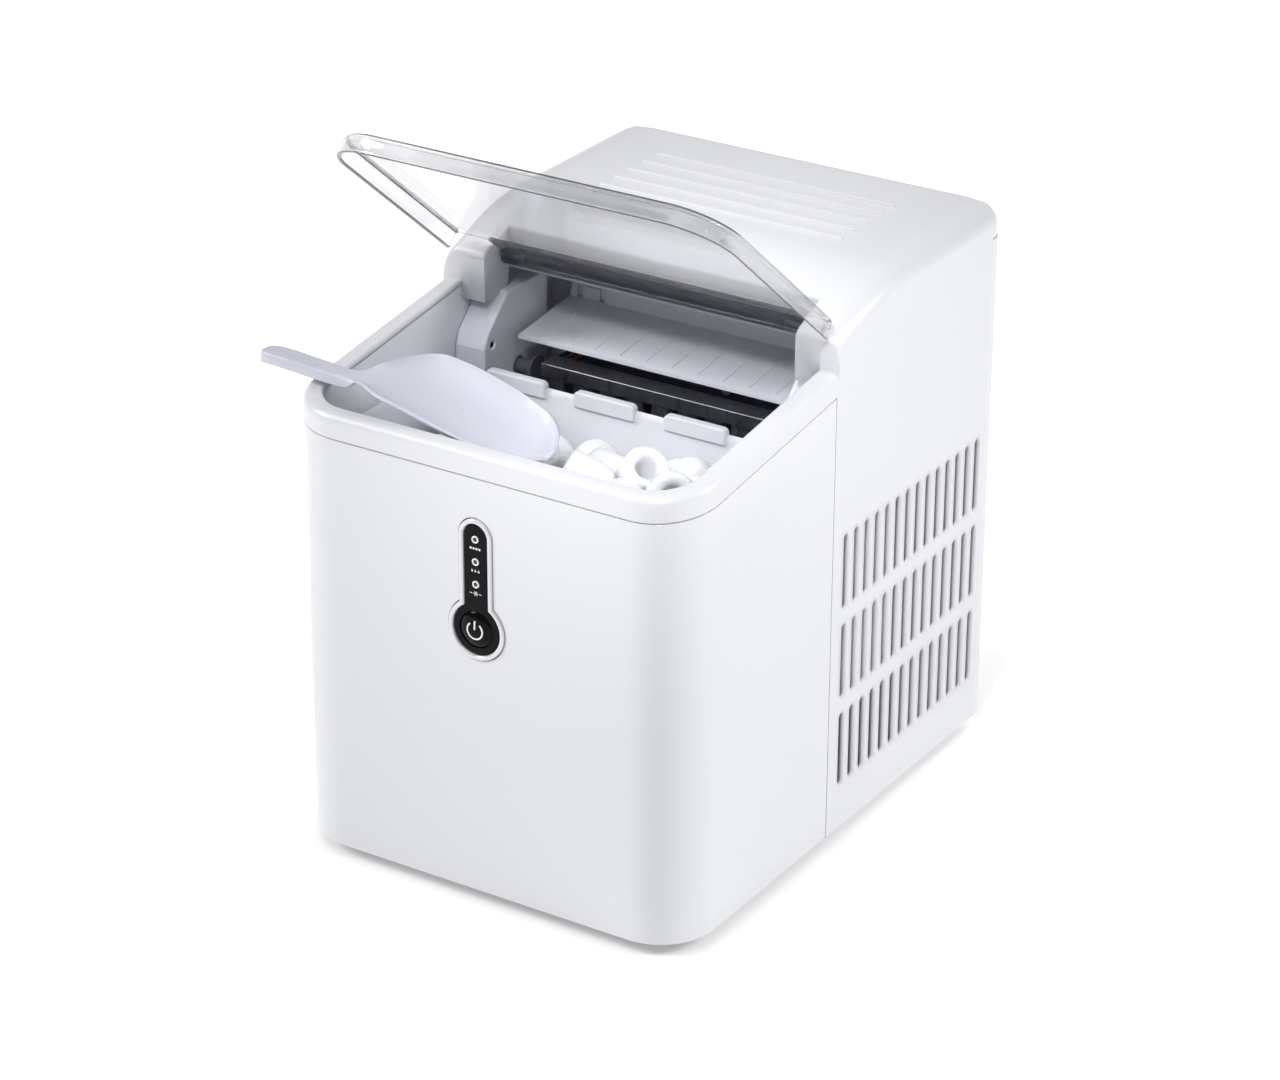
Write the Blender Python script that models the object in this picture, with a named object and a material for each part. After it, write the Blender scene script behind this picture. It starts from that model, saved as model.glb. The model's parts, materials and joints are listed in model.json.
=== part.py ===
"""Countertop ice maker: casing, clear lid, bin with basket and scoop, and the ice-making machinery inside.

Sizes are in millimetres and are turned into metres as each mesh is made. X runs to the machine's left-right
side, Y from its front to its back and Z up. The origin is the centre of the base pan's underside.
"""

from math import asin, cos, pi, radians, sin, sqrt

import bmesh
import bpy
from mathutils import Matrix, Vector

MM = 0.001

# Casing
WIDTH, DEPTH = 222.0, 295.0
FRONT, BACK = -DEPTH / 2, DEPTH / 2
SIDE = WIDTH / 2
WALL = 2.5
GAP = 0.4  # between pieces that meet
FRONT_RADIUS, REAR_RADIUS, TOP_RADIUS = 29.5, 11.0, 4.0
SEAM_Y = FRONT + 132.9  # side seam between the front shell and the housing
RIM_SLOPE = 0.13  # the rim climbs 13 mm in 100 mm towards the hood
SEAM_Z, RIM_Z = 215.5, 227.7  # at the front face
HOOD_Y = FRONT + 134.5  # front face of the hinge pillars
HOOD_TOP = 277.6
NOTCH_Y = FRONT + 156.0  # rear edge of the notch between the pillars
PILLAR_X = 87.0
PANEL_Y = FRONT + 283.0  # front face of the back panel
PANEL_TOP = 262.0
FOOT_PLACES = [(x, y) for y in (FRONT + 38, BACK - 38) for x in (-78, 78)]
GLAND_X, GLAND_Z = 78.0, 28.0
DRAIN_X, DRAIN_Z = -84.0, 22.0

# Bin opening in the rim
BIN_SIDE, BIN_FRONT, BIN_RADIUS = 100.5, FRONT + 8.5, 20.0
LINER_WALL, LINER_FLOOR, LINER_BACK = 2.0, 60.0, FRONT + 190.0
SHELF_FLOOR, SHELF_BACK = 206.0, FRONT + 213.0  # where the ice chamber reaches back under the hood

# Side vents
VENT_ROWS = ((24.6, 63.9), (72.2, 111.7), (119.9, 159.1))
VENT_COUNT, VENT_PITCH, VENT_WIDTH, VENT_FIRST = 14, 10.0, 4.7, FRONT + 145.0

# Lid: its hinge axis and how far it stands open at rest
LID_AXIS_Y, LID_AXIS_Z = FRONT + 150.9, 256.0
LID_OPEN = radians(39.7)
LID_SIDE, LID_LENGTH, LID_RADIUS = 106.0, 152.0, 28.0
LID_REAR, LID_SKIRT, LID_WALL = 19.5, 10.5, 2.0
LID_RISE = -8.6  # height of the skirt's edge over the axis, square to the lid
PIN_RADIUS, BAR_RADIUS = 2.4, 4.2

# Console on the front
CONSOLE_X, BUTTON_Z, CONSOLE_TOP = -0.5, 139.6, 195.6
CONSOLE_BOWL, CONSOLE_STEM, BEZEL_WIDTH = 15.4, 9.0, 2.6
BUTTON_RADIUS = 8.9
INDICATOR_HEIGHTS = (185.4, 174.1, 162.7)

# Ice chamber
CHEEK_X, SENSOR_Y, SENSOR_Z = 83.0, FRONT + 135.5, 214.3
TRAY_Y, TRAY_Z, TRAY_RADIUS, TRAY_SIDE = FRONT + 158.0, 196.0, 28.8, 74.0
FINGERS, FINGER_PITCH, FINGER_RADIUS, FINGER_LENGTH = 9, 15.0, 5.0, 24.0
PUSHER_FRONT, PUSHER_Y, PUSHER_Z, PUSHER_SIDE = FRONT + 150.0, FRONT + 201.0, 225.0, 78.0
KNUCKLES, KNUCKLE_HALF = (("left", -66.0), ("right", 66.0)), 5.0

# Basket
BASKET_SIDE, BASKET_FRONT, BASKET_BACK = 94.0, FRONT + 14.0, FRONT + 116.0
BASKET_FLOOR, BASKET_TOP, BASKET_WALL, TAB_PITCH = 122.0, 209.0, 1.8, 50.5

# Machine room
PIPE_X, PIPE_Z, HOSE_X, HOSE_Z = 60.0, 200.0, 22.0, 199.0  # where pipes and hose enter the ice chamber
COMPRESSOR_X, COMPRESSOR_Y, COMPRESSOR_RADIUS = -45.0, FRONT + 240.0, 36.0
FAN_X, FAN_Y, FAN_Z, FAN_RADIUS = 66.0, FRONT + 243.0, 92.0, 38.0
CORE_FRONT, CORE_BACK = FRONT + 204.0, FRONT + 282.0  # condenser and fan shroud


def rim_z(y, level):
    """Height of a plane that runs with the rim and is at `level` above the front face."""
    return level + RIM_SLOPE * (y - FRONT)


# ---------------------------------------------------------------- tools


def material(name, colour, roughness, metallic=0.0, alpha=1.0, transmission=0.0):
    mat = bpy.data.materials.get(name)
    if mat is None:
        mat = bpy.data.materials.new(name)
        mat.use_nodes = True
        shader = mat.node_tree.nodes["Principled BSDF"]
        shader.inputs["Base Color"].default_value = (*colour, 1.0)
        shader.inputs["Roughness"].default_value = roughness
        shader.inputs["Metallic"].default_value = metallic
        shader.inputs["Alpha"].default_value = alpha
        shader.inputs["Transmission Weight"].default_value = transmission
        mat.diffuse_color = (*colour, alpha)
    return mat


def link(name, mesh, mat, smooth=False):
    obj = bpy.data.objects.new(name, mesh)
    bpy.context.scene.collection.objects.link(obj)
    if mat:
        mesh.materials.append(mat)
    if smooth:
        mesh.shade_smooth()
        mesh.set_sharp_from_angle(angle=radians(35))
    return obj


def finish(bm, name, mat, smooth=False):
    """Turn a bmesh drawn in millimetres into an object in metres with its faces pointing out."""
    bmesh.ops.remove_doubles(bm, verts=bm.verts, dist=1e-4)
    bmesh.ops.scale(bm, vec=(MM, MM, MM), verts=bm.verts)
    bmesh.ops.recalc_face_normals(bm, faces=bm.faces)
    mesh = bpy.data.meshes.new(name)
    bm.to_mesh(mesh)
    bm.free()
    return link(name, mesh, mat, smooth)


def extrude(name, outline, axis, low, high, mat=None, smooth=False):
    """Prism of an outline. Axis X takes (y, z) points, Y takes (x, z) points and Z takes (x, y) points."""
    place = {
        "X": lambda a, b, c: (c, a, b),
        "Y": lambda a, b, c: (a, c, b),
        "Z": lambda a, b, c: (a, b, c),
    }[axis]
    bm = bmesh.new()
    face = bm.faces.new([bm.verts.new(place(a, b, low)) for a, b in outline])
    grown = bmesh.ops.extrude_face_region(bm, geom=[face])
    moved = [v for v in grown["geom"] if isinstance(v, bmesh.types.BMVert)]
    bmesh.ops.translate(bm, vec=place(0, 0, high - low), verts=moved)
    return finish(bm, name, mat, smooth)


def box(name, low, high, mat=None):
    (x0, y0, z0), (x1, y1, z1) = low, high
    return extrude(name, [(x0, y0), (x1, y0), (x1, y1), (x0, y1)], "Z", z0, z1, mat)


def turn(name, profile, axis, centre, steps=24, mat=None):
    """Solid of revolution. The profile's points are (radius, height along the axis)."""
    towards = {"X": Matrix.Rotation(pi / 2, 4, "Y"), "Y": Matrix.Rotation(-pi / 2, 4, "X"), "Z": Matrix()}[axis]
    bm = bmesh.new()
    verts = [bm.verts.new((r, 0, h)) for r, h in profile]
    edges = [bm.edges.new(pair) for pair in zip(verts, verts[1:])]
    bmesh.ops.spin(bm, geom=verts + edges, cent=(0, 0, 0), axis=(0, 0, 1), angle=2 * pi, steps=steps)
    bmesh.ops.remove_doubles(bm, verts=bm.verts, dist=1e-4)
    for ring in [profile[0], profile[-1]]:
        if ring[0] > 0:
            rim = [e for e in bm.edges if e.is_boundary and abs(e.verts[0].co.z - ring[1]) < 1e-3]
            bmesh.ops.contextual_create(bm, geom=rim)
    bmesh.ops.transform(bm, matrix=Matrix.Translation(centre) @ towards, verts=bm.verts)
    return finish(bm, name, mat, smooth=True)


def pipe(name, points, radius, mat):
    """Round bar along a smooth curve through its points."""
    curve = bpy.data.curves.new(name, "CURVE")
    curve.dimensions = "3D"
    curve.bevel_depth = radius * MM
    curve.bevel_resolution = 2
    curve.resolution_u = 5
    curve.render_resolution_u = 0
    curve.use_fill_caps = True
    spline = curve.splines.new("BEZIER")
    spline.bezier_points.add(len(points) - 1)
    for knot, place in zip(spline.bezier_points, points):
        knot.co = Vector(place) * MM
        knot.handle_left_type = knot.handle_right_type = "AUTO"
    curve.materials.append(mat)
    obj = bpy.data.objects.new(name, curve)
    bpy.context.scene.collection.objects.link(obj)
    return obj


def combine(obj, other, operation):
    """Boolean with a guide, which stays in the file as a wire and is no part of the model."""
    other.hide_render = True
    other.display_type = "WIRE"
    step = obj.modifiers.new(operation.title(), "BOOLEAN")
    step.operation = operation
    step.object = other
    step.solver = "EXACT"
    return obj


def cut(obj, *cutters):
    for cutter in cutters:
        combine(obj, cutter, "DIFFERENCE")
    return obj


def join(obj, *others):
    for other in others:
        combine(obj, other, "UNION")
    return obj


def pivot(obj, x, y, z):
    """Move an object's origin to a point on its joint's axis, and leave its shape where it is."""
    point = Vector((x, y, z)) * MM
    obj.data.transform(Matrix.Translation(-point))
    obj.location = point
    return obj


def arc(cx, cy, radius, start, stop, steps):
    """Points round a centre, angles in degrees."""
    angles = [radians(start + (stop - start) * i / steps) for i in range(steps + 1)]
    return [(cx + radius * cos(a), cy + radius * sin(a)) for a in angles]


def rounded(x0, y0, x1, y1, radii, steps=6):
    """Rectangle with a radius at each corner, in the order (x1, y1), (x0, y1), (x0, y0), (x1, y0)."""
    corners = [(x1, y1, -1, -1, 0), (x0, y1, 1, -1, 90), (x0, y0, 1, 1, 180), (x1, y0, -1, 1, 270)]
    points = []
    for (x, y, sx, sy, start), r in zip(corners, radii):
        if r:
            points += arc(x + sx * r, y + sy * r, r, start, start + 90, steps)
        else:
            points.append((x, y))
    return points


def body_outline(inset=0.0, steps=8):
    """Plan outline of the casing, or of what lies inside it at a given distance."""
    rear, front = REAR_RADIUS - min(inset, REAR_RADIUS - 1), FRONT_RADIUS - inset
    return rounded(
        -SIDE + inset, FRONT + inset, SIDE - inset, BACK - inset, (rear, rear, front, front), steps
    )


# ---------------------------------------------------------------- materials

WHITE_GLOSS = material("white_gloss_abs", (0.87, 0.87, 0.88), 0.15)
WHITE_SATIN = material("white_satin_abs", (0.84, 0.84, 0.85), 0.35)
GREY_PLASTIC = material("grey_liner_plastic", (0.62, 0.63, 0.67), 0.45)
DARK_PLASTIC = material("dark_plastic", (0.05, 0.05, 0.06), 0.4)
FASCIA_BLACK = material("fascia_black", (0.012, 0.012, 0.014), 0.12)
BEZEL_SILVER = material("bezel_silver", (0.75, 0.76, 0.78), 0.25, metallic=0.6)
LENS_WHITE = material("lens_white", (0.8, 0.82, 0.85), 0.3)
CLEAR_PLASTIC = material("clear_plastic", (0.9, 0.92, 0.94), 0.05, alpha=0.35, transmission=0.9)
FROSTED_PLASTIC = material("frosted_plastic", (0.8, 0.82, 0.86), 0.4, alpha=0.8, transmission=0.3)
SCOOP_PLASTIC = material("scoop_plastic", (0.8, 0.81, 0.86), 0.4)
STEEL = material("steel", (0.55, 0.56, 0.58), 0.3, metallic=1.0)
BLACK_ENAMEL = material("black_enamel", (0.02, 0.02, 0.022), 0.35)
COPPER = material("copper", (0.72, 0.36, 0.2), 0.3, metallic=1.0)
ALUMINIUM = material("aluminium", (0.75, 0.76, 0.77), 0.4, metallic=1.0)
RUBBER = material("rubber", (0.04, 0.04, 0.042), 0.8)
SILICONE = material("silicone", (0.7, 0.7, 0.68), 0.5)
CIRCUIT_BOARD = material("circuit_board", (0.02, 0.16, 0.07), 0.5)
FOAM = material("foam", (0.86, 0.86, 0.84), 0.9)


# ---------------------------------------------------------------- casing


def hood_section(y, drop, narrow):
    """Ridge height, top height and inner edge of the shoulder at a distance from the front."""
    rim = rim_z(y, RIM_Z) - drop
    start = HOOD_Y if drop == 0 else NOTCH_Y
    if y < start:
        return rim, rim, SIDE - narrow - 12
    rise = min(1.0, (y - HOOD_Y) / 62.0)
    sweep = sin(rise * pi / 2)
    ridge = 252.5 + 18.5 * sweep
    top = 261.0 + (HOOD_TOP - 261.0) * sweep
    past = max(0.0, y - (BACK - TOP_RADIUS))
    fall = TOP_RADIUS - sqrt(max(0.0, TOP_RADIUS**2 - past**2))
    return ridge - drop - fall, top - drop - fall, SIDE - narrow - 8.0 - 10.0 * sweep


def hood_form(name, drop=0.0, narrow=0.0):
    """Everything under the rim plane and the hood, lofted from front to back through its sections."""
    edge = HOOD_Y if drop == 0 else NOTCH_Y
    stations = [FRONT - 5, edge - 0.01, edge]
    stations += [edge + (FRONT + 198 - edge) * i / 6 for i in range(1, 7)]
    stations += [BACK - TOP_RADIUS * share for share in (1.0, 0.6, 0.3, 0.1, 0.0)]
    steps = 4
    bm = bmesh.new()
    rings = []
    for y in stations:
        ridge, top, inner = hood_section(y, drop, narrow)
        outer = SIDE - narrow + (1.0 if narrow == 0 else 0.0)
        half = [(outer, -10.0), (outer, ridge)]
        half += [(SIDE - narrow, ridge)] if narrow == 0 else []
        for i in range(1, steps + 1):
            angle = (1 - i / steps) * pi / 4
            x = inner + (SIDE - narrow - inner) * sin(angle) / sin(pi / 4)
            z = ridge + (top - ridge) * (cos(angle) - cos(pi / 4)) / (1 - cos(pi / 4))
            half.append((x, z))
        ring = half + [(-x, z) for x, z in reversed(half)]
        rings.append([bm.verts.new((x, y, z)) for x, z in ring])
    count = len(rings[0])
    for a, b in zip(rings, rings[1:]):
        for i in range(count):
            j = (i + 1) % count
            bm.faces.new((a[i], a[j], b[j], b[i]))
    bm.faces.new(rings[0])
    bm.faces.new(list(reversed(rings[-1])))
    return finish(bm, name, None)


def vent_cutter(name, side):
    """All the slots of one side wall, as hexagonal bars through it."""
    bm = bmesh.new()
    half = VENT_WIDTH / 2
    for low, high in VENT_ROWS:
        for i in range(VENT_COUNT):
            y = VENT_FIRST + VENT_PITCH * i
            shape = [(y, low), (y + half, low + half), (y + half, high - half)]
            shape += [(y, high), (y - half, high - half), (y - half, low + half)]
            face = bm.faces.new([bm.verts.new((side * (SIDE - 6), a, b)) for a, b in shape])
            grown = bmesh.ops.extrude_face_region(bm, geom=[face])
            moved = [v for v in grown["geom"] if isinstance(v, bmesh.types.BMVert)]
            bmesh.ops.translate(bm, vec=(side * 12, 0, 0), verts=moved)
    return finish(bm, name, None)


def front_shell():
    """Glossy panel round the front and both sides, its top edge running with the rim."""
    shell = extrude("front_shell", body_outline(), "Z", 0, 260, WHITE_GLOSS, smooth=True)
    inside = extrude("front_shell_inside", body_outline(WALL), "Z", -10, 300)
    behind = box("front_shell_rear", (-200, SEAM_Y - GAP / 2, -10), (200, 200, 300))
    top = [(FRONT - 9, rim_z(FRONT - 9, SEAM_Z)), (BACK, rim_z(BACK, SEAM_Z)), (BACK, 320), (FRONT - 9, 320)]
    above = extrude("front_shell_top", [(y, z - GAP / 2) for y, z in top], "X", -200, 200)
    console = extrude("front_shell_console", console_outline(GAP), "Y", FRONT - 5, FRONT + 6)
    return cut(shell, inside, behind, above, console)


def upper_housing():
    """Rim, hood and rear sides in one moulding."""
    housing = extrude("upper_housing", body_outline(), "Z", 0, 320, WHITE_SATIN, smooth=True)
    combine(housing, hood_form("housing_form"), "INTERSECT")
    inside = extrude("housing_inside", body_outline(WALL), "Z", -10, 310)
    combine(inside, hood_form("housing_inside_form", 3.0, WALL), "INTERSECT")
    seam = [(FRONT - 9, -20), (SEAM_Y + GAP / 2, -20), (SEAM_Y + GAP / 2, rim_z(SEAM_Y, SEAM_Z) + GAP / 2)]
    seam.append((FRONT - 9, rim_z(FRONT - 9, SEAM_Z) + GAP / 2))
    front = extrude("housing_front", seam, "X", -200, 200)
    rear = box("housing_rear", (-200, PANEL_Y - GAP, -20), (200, 200, PANEL_TOP + GAP))
    opening = extrude(
        "housing_bin",
        rounded(-BIN_SIDE, BIN_FRONT, BIN_SIDE, HOOD_Y, (0, 0, BIN_RADIUS, BIN_RADIUS)),
        "Z",
        150,
        330,
    )
    notch = box("housing_notch", (-PILLAR_X, HOOD_Y - 2, 200), (PILLAR_X, NOTCH_Y, 330))
    pins = turn("housing_pins", [(0, -98), (PIN_RADIUS + 0.3, -98), (PIN_RADIUS + 0.3, 98), (0, 98)], "X",
                (0, LID_AXIS_Y, LID_AXIS_Z), 12)
    cut(housing, inside, front, rear, opening, notch, pins)
    cut(housing, vent_cutter("housing_vents_left", -1), vent_cutter("housing_vents_right", 1))
    for i in range(5):
        y = FRONT + 260.3 - 12.9 * i
        rib = box(f"housing_rib_{i}", (-68.7, y - 1.2, HOOD_TOP - 1), (68.7, y + 1.2, HOOD_TOP + 0.8))
        join(housing, rib)
    return housing


def back_panel():
    radius = REAR_RADIUS - 2
    outline = rounded(-SIDE, PANEL_Y, SIDE, BACK, (radius, radius, 0, 0), 5)
    panel = extrude("back_panel", outline, "Z", 0, PANEL_TOP, WHITE_SATIN, smooth=True)
    hollow = box("back_panel_hollow", (-SIDE + 8, PANEL_Y - 5, 8), (SIDE - 8, BACK - WALL, PANEL_TOP - 8))
    cut(panel, hollow)
    for i in range(8):
        z = 60 + 12 * i
        slot = box(f"back_panel_slot_{i}", (-30, BACK - 8, z), (60, BACK + 5, z + 4.5))
        cut(panel, slot)
    hole = [(0, -10), (8.4, -10), (8.4, 10), (0, 10)]
    gland = turn("back_panel_gland", hole, "Y", (GLAND_X, BACK, GLAND_Z), 16)
    drain = turn("back_panel_drain", hole, "Y", (DRAIN_X, BACK, DRAIN_Z), 16)
    return cut(panel, gland, drain)


def back_screws():
    """Four screws at the corners of the back panel."""
    for i, (x, z) in enumerate([(-98, 236), (98, 236), (-98, 48), (98, 48)], 1):
        profile = [(0, -4), (1.5, -4), (1.5, 0.3), (3.2, 0.3), (3.2, 1.2), (2.2, 2.0), (0, 2.0)]
        hole = turn(f"screw_hole_{i}", [(0, -20), (1.8, -20), (1.8, 20), (0, 20)], "Y", (x, BACK, z), 12)
        cut(bpy.data.objects["back_panel"], hole)
        turn(f"back_screw_{i}", profile, "Y", (x, BACK, z), 12, STEEL)


def base_pan():
    """Shallow tray that closes the casing underneath, with a shallow pocket for each foot."""
    pan = extrude("base_pan", body_outline(WALL + GAP), "Z", 0, 12, DARK_PLASTIC)
    behind = box("base_pan_rear", (-200, PANEL_Y - 2 * GAP, -5), (200, 200, 50))
    inside = extrude("base_pan_inside", body_outline(WALL + GAP + 2), "Z", 3, 40)
    rim = box("base_pan_rim", (-200, PANEL_Y - 4, 3), (200, 200, 50))
    cut(pan, behind, inside)
    combine(pan, rim, "DIFFERENCE")
    for i, (x, y) in enumerate(FOOT_PLACES, 1):
        cut(pan, turn(f"foot_pocket_{i}", [(0, -5), (10.4, -5), (10.4, 1.2), (0, 1.2)], "Z", (x, y, 0), 20))
    return pan


def feet():
    for i, (x, y) in enumerate(FOOT_PLACES, 1):
        profile = [(0, -6), (8.5, -6), (9.6, -5), (10, 0.8), (0, 0.8)]
        turn(f"foot_{i}", profile, "Z", (x, y, 0), 20, RUBBER)


# ---------------------------------------------------------------- lid


def lid():
    """Clear tray with a skirt round three sides. Behind the skirt a narrower tongue runs between the pillars
    to the hinge bar. It is drawn flat, hinge at the origin, and then turned to its open angle."""
    edge, top = LID_RISE, LID_RISE + LID_SKIRT
    outer = rounded(-LID_SIDE, -LID_LENGTH, LID_SIDE, -LID_REAR, (3, 3, LID_RADIUS, LID_RADIUS), 7)
    tray = extrude("lid", outer, "Z", edge, top, CLEAR_PLASTIC, smooth=True)
    side, front = LID_SIDE - LID_WALL, LID_LENGTH - LID_WALL
    inner = rounded(-side, -front, side, -LID_REAR + 10, (0, 0, LID_RADIUS - 2, LID_RADIUS - 2), 7)
    hollow = extrude("lid_hollow", inner, "Z", edge - 5, top - LID_WALL)
    cut(tray, hollow)
    tongue = box("lid_tongue", (-80, -LID_REAR - 1.5, top - LID_WALL + 0.1), (80, 1, top - 0.1))
    bar = turn("lid_bar", [(0, -86), (BAR_RADIUS, -86), (BAR_RADIUS, 86), (0, 86)], "X", (0, 0, 0), 16)
    join(tray, tongue, bar)
    bores = turn("lid_bores", [(0, -90), (PIN_RADIUS + 0.3, -90), (PIN_RADIUS + 0.3, -72), (0, -72)], "X",
                 (0, 0, 0), 12)
    other = turn("lid_bores_right", [(0, 72), (PIN_RADIUS + 0.3, 72), (PIN_RADIUS + 0.3, 90), (0, 90)], "X",
                 (0, 0, 0), 12)
    cut(tray, bores, other)
    for piece in (tray, hollow, tongue, bar, bores, other):
        piece.data.transform(Matrix.Rotation(-LID_OPEN, 4, "X"))
        piece.location = Vector((0, LID_AXIS_Y, LID_AXIS_Z)) * MM
    return tray


def hinge_pins():
    for name, side in (("hinge_pin_left", -1), ("hinge_pin_right", 1)):
        ends = sorted((side * 73.0, side * 97.5))
        turn(name, [(0, ends[0]), (PIN_RADIUS, ends[0]), (PIN_RADIUS, ends[1]), (0, ends[1])], "X",
             (0, LID_AXIS_Y, LID_AXIS_Z), 12, STEEL)


# ---------------------------------------------------------------- console


def console_outline(grow=0.0):
    """Round bowl at the bottom and an upright stem with a round top, as one outline of (x, z) points."""
    bowl, stem = CONSOLE_BOWL + grow, CONSOLE_STEM + grow
    neck = 90 - asin(stem / bowl) * 180 / pi
    points = arc(CONSOLE_X, BUTTON_Z, bowl, 180 - neck, 360 + neck, 22)
    top = CONSOLE_TOP - CONSOLE_STEM
    return points + arc(CONSOLE_X, top, stem, 0, 180, 10)


def console():
    bezel = extrude(
        "control_bezel", console_outline(), "Y", FRONT - 0.9, FRONT + 2.8, BEZEL_SILVER, smooth=True
    )
    cut(bezel, extrude("bezel_hole", console_outline(-BEZEL_WIDTH), "Y", FRONT - 5, FRONT + 6))
    fascia = extrude(
        "control_fascia", console_outline(-BEZEL_WIDTH - 0.3), "Y", FRONT - 0.4, FRONT + 2.6, FASCIA_BLACK
    )
    hole = [(0, -9), (BUTTON_RADIUS + 0.4, -9), (BUTTON_RADIUS + 0.4, 9), (0, 9)]
    cut(fascia, turn("fascia_button_hole", hole, "Y", (CONSOLE_X, FRONT, BUTTON_Z), 28))
    for i, z in enumerate(INDICATOR_HEIGHTS, 1):
        place = (CONSOLE_X, FRONT, z)
        cut(fascia, turn(f"fascia_hole_{i}", [(0, -9), (2.2, -9), (2.2, 9), (0, 9)], "Y", place, 16))
        turn(f"indicator_{i}", [(0, -0.6), (1.8, -0.6), (1.8, 2.4), (0, 2.4)], "Y", place, 16, LENS_WHITE)
    dome = [(0, -1.9), (3.5, -1.8), (6.5, -1.3), (8.3, -0.6), (BUTTON_RADIUS, 0), (BUTTON_RADIUS, 2.4)]
    dome += [(3, 2.4), (3, 3.0), (0, 3.0)]
    button = turn("power_button", dome, "Y", (CONSOLE_X, FRONT, BUTTON_Z), 28, FASCIA_BLACK)
    pivot(button, CONSOLE_X, FRONT, BUTTON_Z)
    box("display_board", (-14, FRONT + 4.2, 126), (14, FRONT + 5.6, 196), CIRCUIT_BOARD)


# ---------------------------------------------------------------- bin


def liner_form(name, inset, top, mat=None):
    """Tub under the bin opening, with a higher shelf behind it that reaches back under the hood."""
    side, front, rear = BIN_SIDE + LINER_WALL - inset, BIN_FRONT - LINER_WALL + inset, LINER_BACK - inset
    radius = BIN_RADIUS + LINER_WALL - inset
    outline = rounded(-side, front, side, rear, (4, 4, radius, radius))
    tub = extrude(name, outline, "Z", LINER_FLOOR + inset, top, mat)
    shelf = box(f"{name}_shelf", (-side, rear - 10, SHELF_FLOOR + inset), (side, SHELF_BACK - inset, top))
    return join(tub, shelf)


def bin_liner():
    """Grey tub: water at the bottom, basket in front on two ledges, ice chamber behind."""
    liner = liner_form("bin_liner", 0, 250, GREY_PLASTIC)
    hollow = liner_form("liner_hollow", LINER_WALL, 270)
    for i, (x, z, r) in enumerate([(-PIPE_X, PIPE_Z, 3.2), (PIPE_X, PIPE_Z, 3.2), (HOSE_X, HOSE_Z, 4.0)]):
        cut(liner, turn(f"liner_hole_{i}", [(0, -9), (r, -9), (r, 9), (0, 9)], "Y", (x, LINER_BACK, z), 12))
    level = RIM_Z - 3.0 - GAP
    line = [(FRONT - 9, rim_z(FRONT - 9, level)), (HOOD_Y + 18, rim_z(HOOD_Y + 18, level)), (HOOD_Y + 18, 244)]
    line += [(BACK, 244), (BACK, 320), (FRONT - 9, 320)]
    cut(liner, hollow, extrude("liner_top", line, "X", -200, 200))
    for name, side in (("left", -1), ("right", 1)):
        low, high = sorted((side * (BASKET_SIDE - 4), side * (BIN_SIDE + 1)))
        near, far = (low, FRONT + 32, BASKET_FLOOR - 5), (high, FRONT + 100, BASKET_FLOOR - GAP)
        ledge = box(f"liner_ledge_{name}", near, far)
        join(liner, ledge)
    return liner


def cheeks():
    """Hollow side blocks of the ice chamber, open towards the liner, with a sensor hole in the inner face."""
    profile = [(128, 150), (128, 214), (131, 221), (149, 238), (183.5, 238), (183.5, 150)]
    pocket = [(130.5, 152.5), (130.5, 213.5), (133, 219.5), (150, 235.5), (181, 235.5), (181, 152.5)]
    for name, side in (("left_cheek", -1), ("right_cheek", 1)):
        low, high = sorted((side * CHEEK_X, side * (BIN_SIDE - GAP)))
        cheek = extrude(name, [(FRONT + y, z) for y, z in profile], "X", low, high, GREY_PLASTIC)
        low, high = sorted((side * (CHEEK_X + 2.5), side * (BIN_SIDE + 5)))
        inside = extrude(f"{name}_inside", [(FRONT + y, z) for y, z in pocket], "X", low, high)
        ends = sorted((side * (CHEEK_X - 3), side * (CHEEK_X + 5)))
        sensor = turn(f"{name}_hole", [(0, ends[0]), (1.9, ends[0]), (1.9, ends[1]), (0, ends[1])], "X",
                      (0, SENSOR_Y, SENSOR_Z), 12)
        shaft = turn(f"{name}_shaft", [(0, ends[0]), (4.4, ends[0]), (4.4, ends[1]), (0, ends[1])], "X",
                     (0, TRAY_Y, TRAY_Z), 16)
        cut(cheek, inside, sensor, shaft)
        start, stop = sorted((side * (CHEEK_X + 0.8), side * (CHEEK_X + 10)))
        turn(f"ice_sensor_{name[:-6]}", [(0, start), (1.6, start), (1.6, stop), (0, stop)], "X",
             (0, SENSOR_Y, SENSOR_Z), 12, DARK_PLASTIC)


def foam_pads():
    for name, side in (("foam_left", -1), ("foam_right", 1)):
        low, high = sorted((side * 103.0, side * 108.0))
        box(name, (low, FRONT + 32, 62), (high, FRONT + 126, 208), FOAM)


def ice_basket():
    """Open frosted basket with three tabs standing on its rear edge."""
    outline = rounded(-BASKET_SIDE, BASKET_FRONT, BASKET_SIDE, BASKET_BACK, (6, 6, 14, 14), 4)
    basket = extrude("ice_basket", outline, "Z", BASKET_FLOOR, BASKET_TOP, FROSTED_PLASTIC, smooth=True)
    w = BASKET_WALL
    inner = rounded(-BASKET_SIDE + w, BASKET_FRONT + w, BASKET_SIDE - w, BASKET_BACK - w, (4, 4, 12, 12), 4)
    cut(basket, extrude("basket_inside", inner, "Z", BASKET_FLOOR + w, 300))
    for i in (-1, 0, 1):
        x = TAB_PITCH * i - 5.0
        shape = rounded(x - 17, BASKET_TOP - 6, x + 17, BASKET_TOP + 3.2, (2.6, 2.6, 0, 0), 3)
        join(basket, extrude(f"basket_tab_{i + 1}", shape, "Y", BASKET_BACK - w + 0.05, BASKET_BACK + 2.2))
    for i in range(7):
        x = -72 + 24 * i
        cut(basket, box(f"basket_drain_{i}", (x - 3, BASKET_FRONT + 20, 110), (x + 3, BASKET_BACK - 20, 130)))
    return pivot(basket, 0, (BASKET_FRONT + BASKET_BACK) / 2, BASKET_FLOOR)


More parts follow.
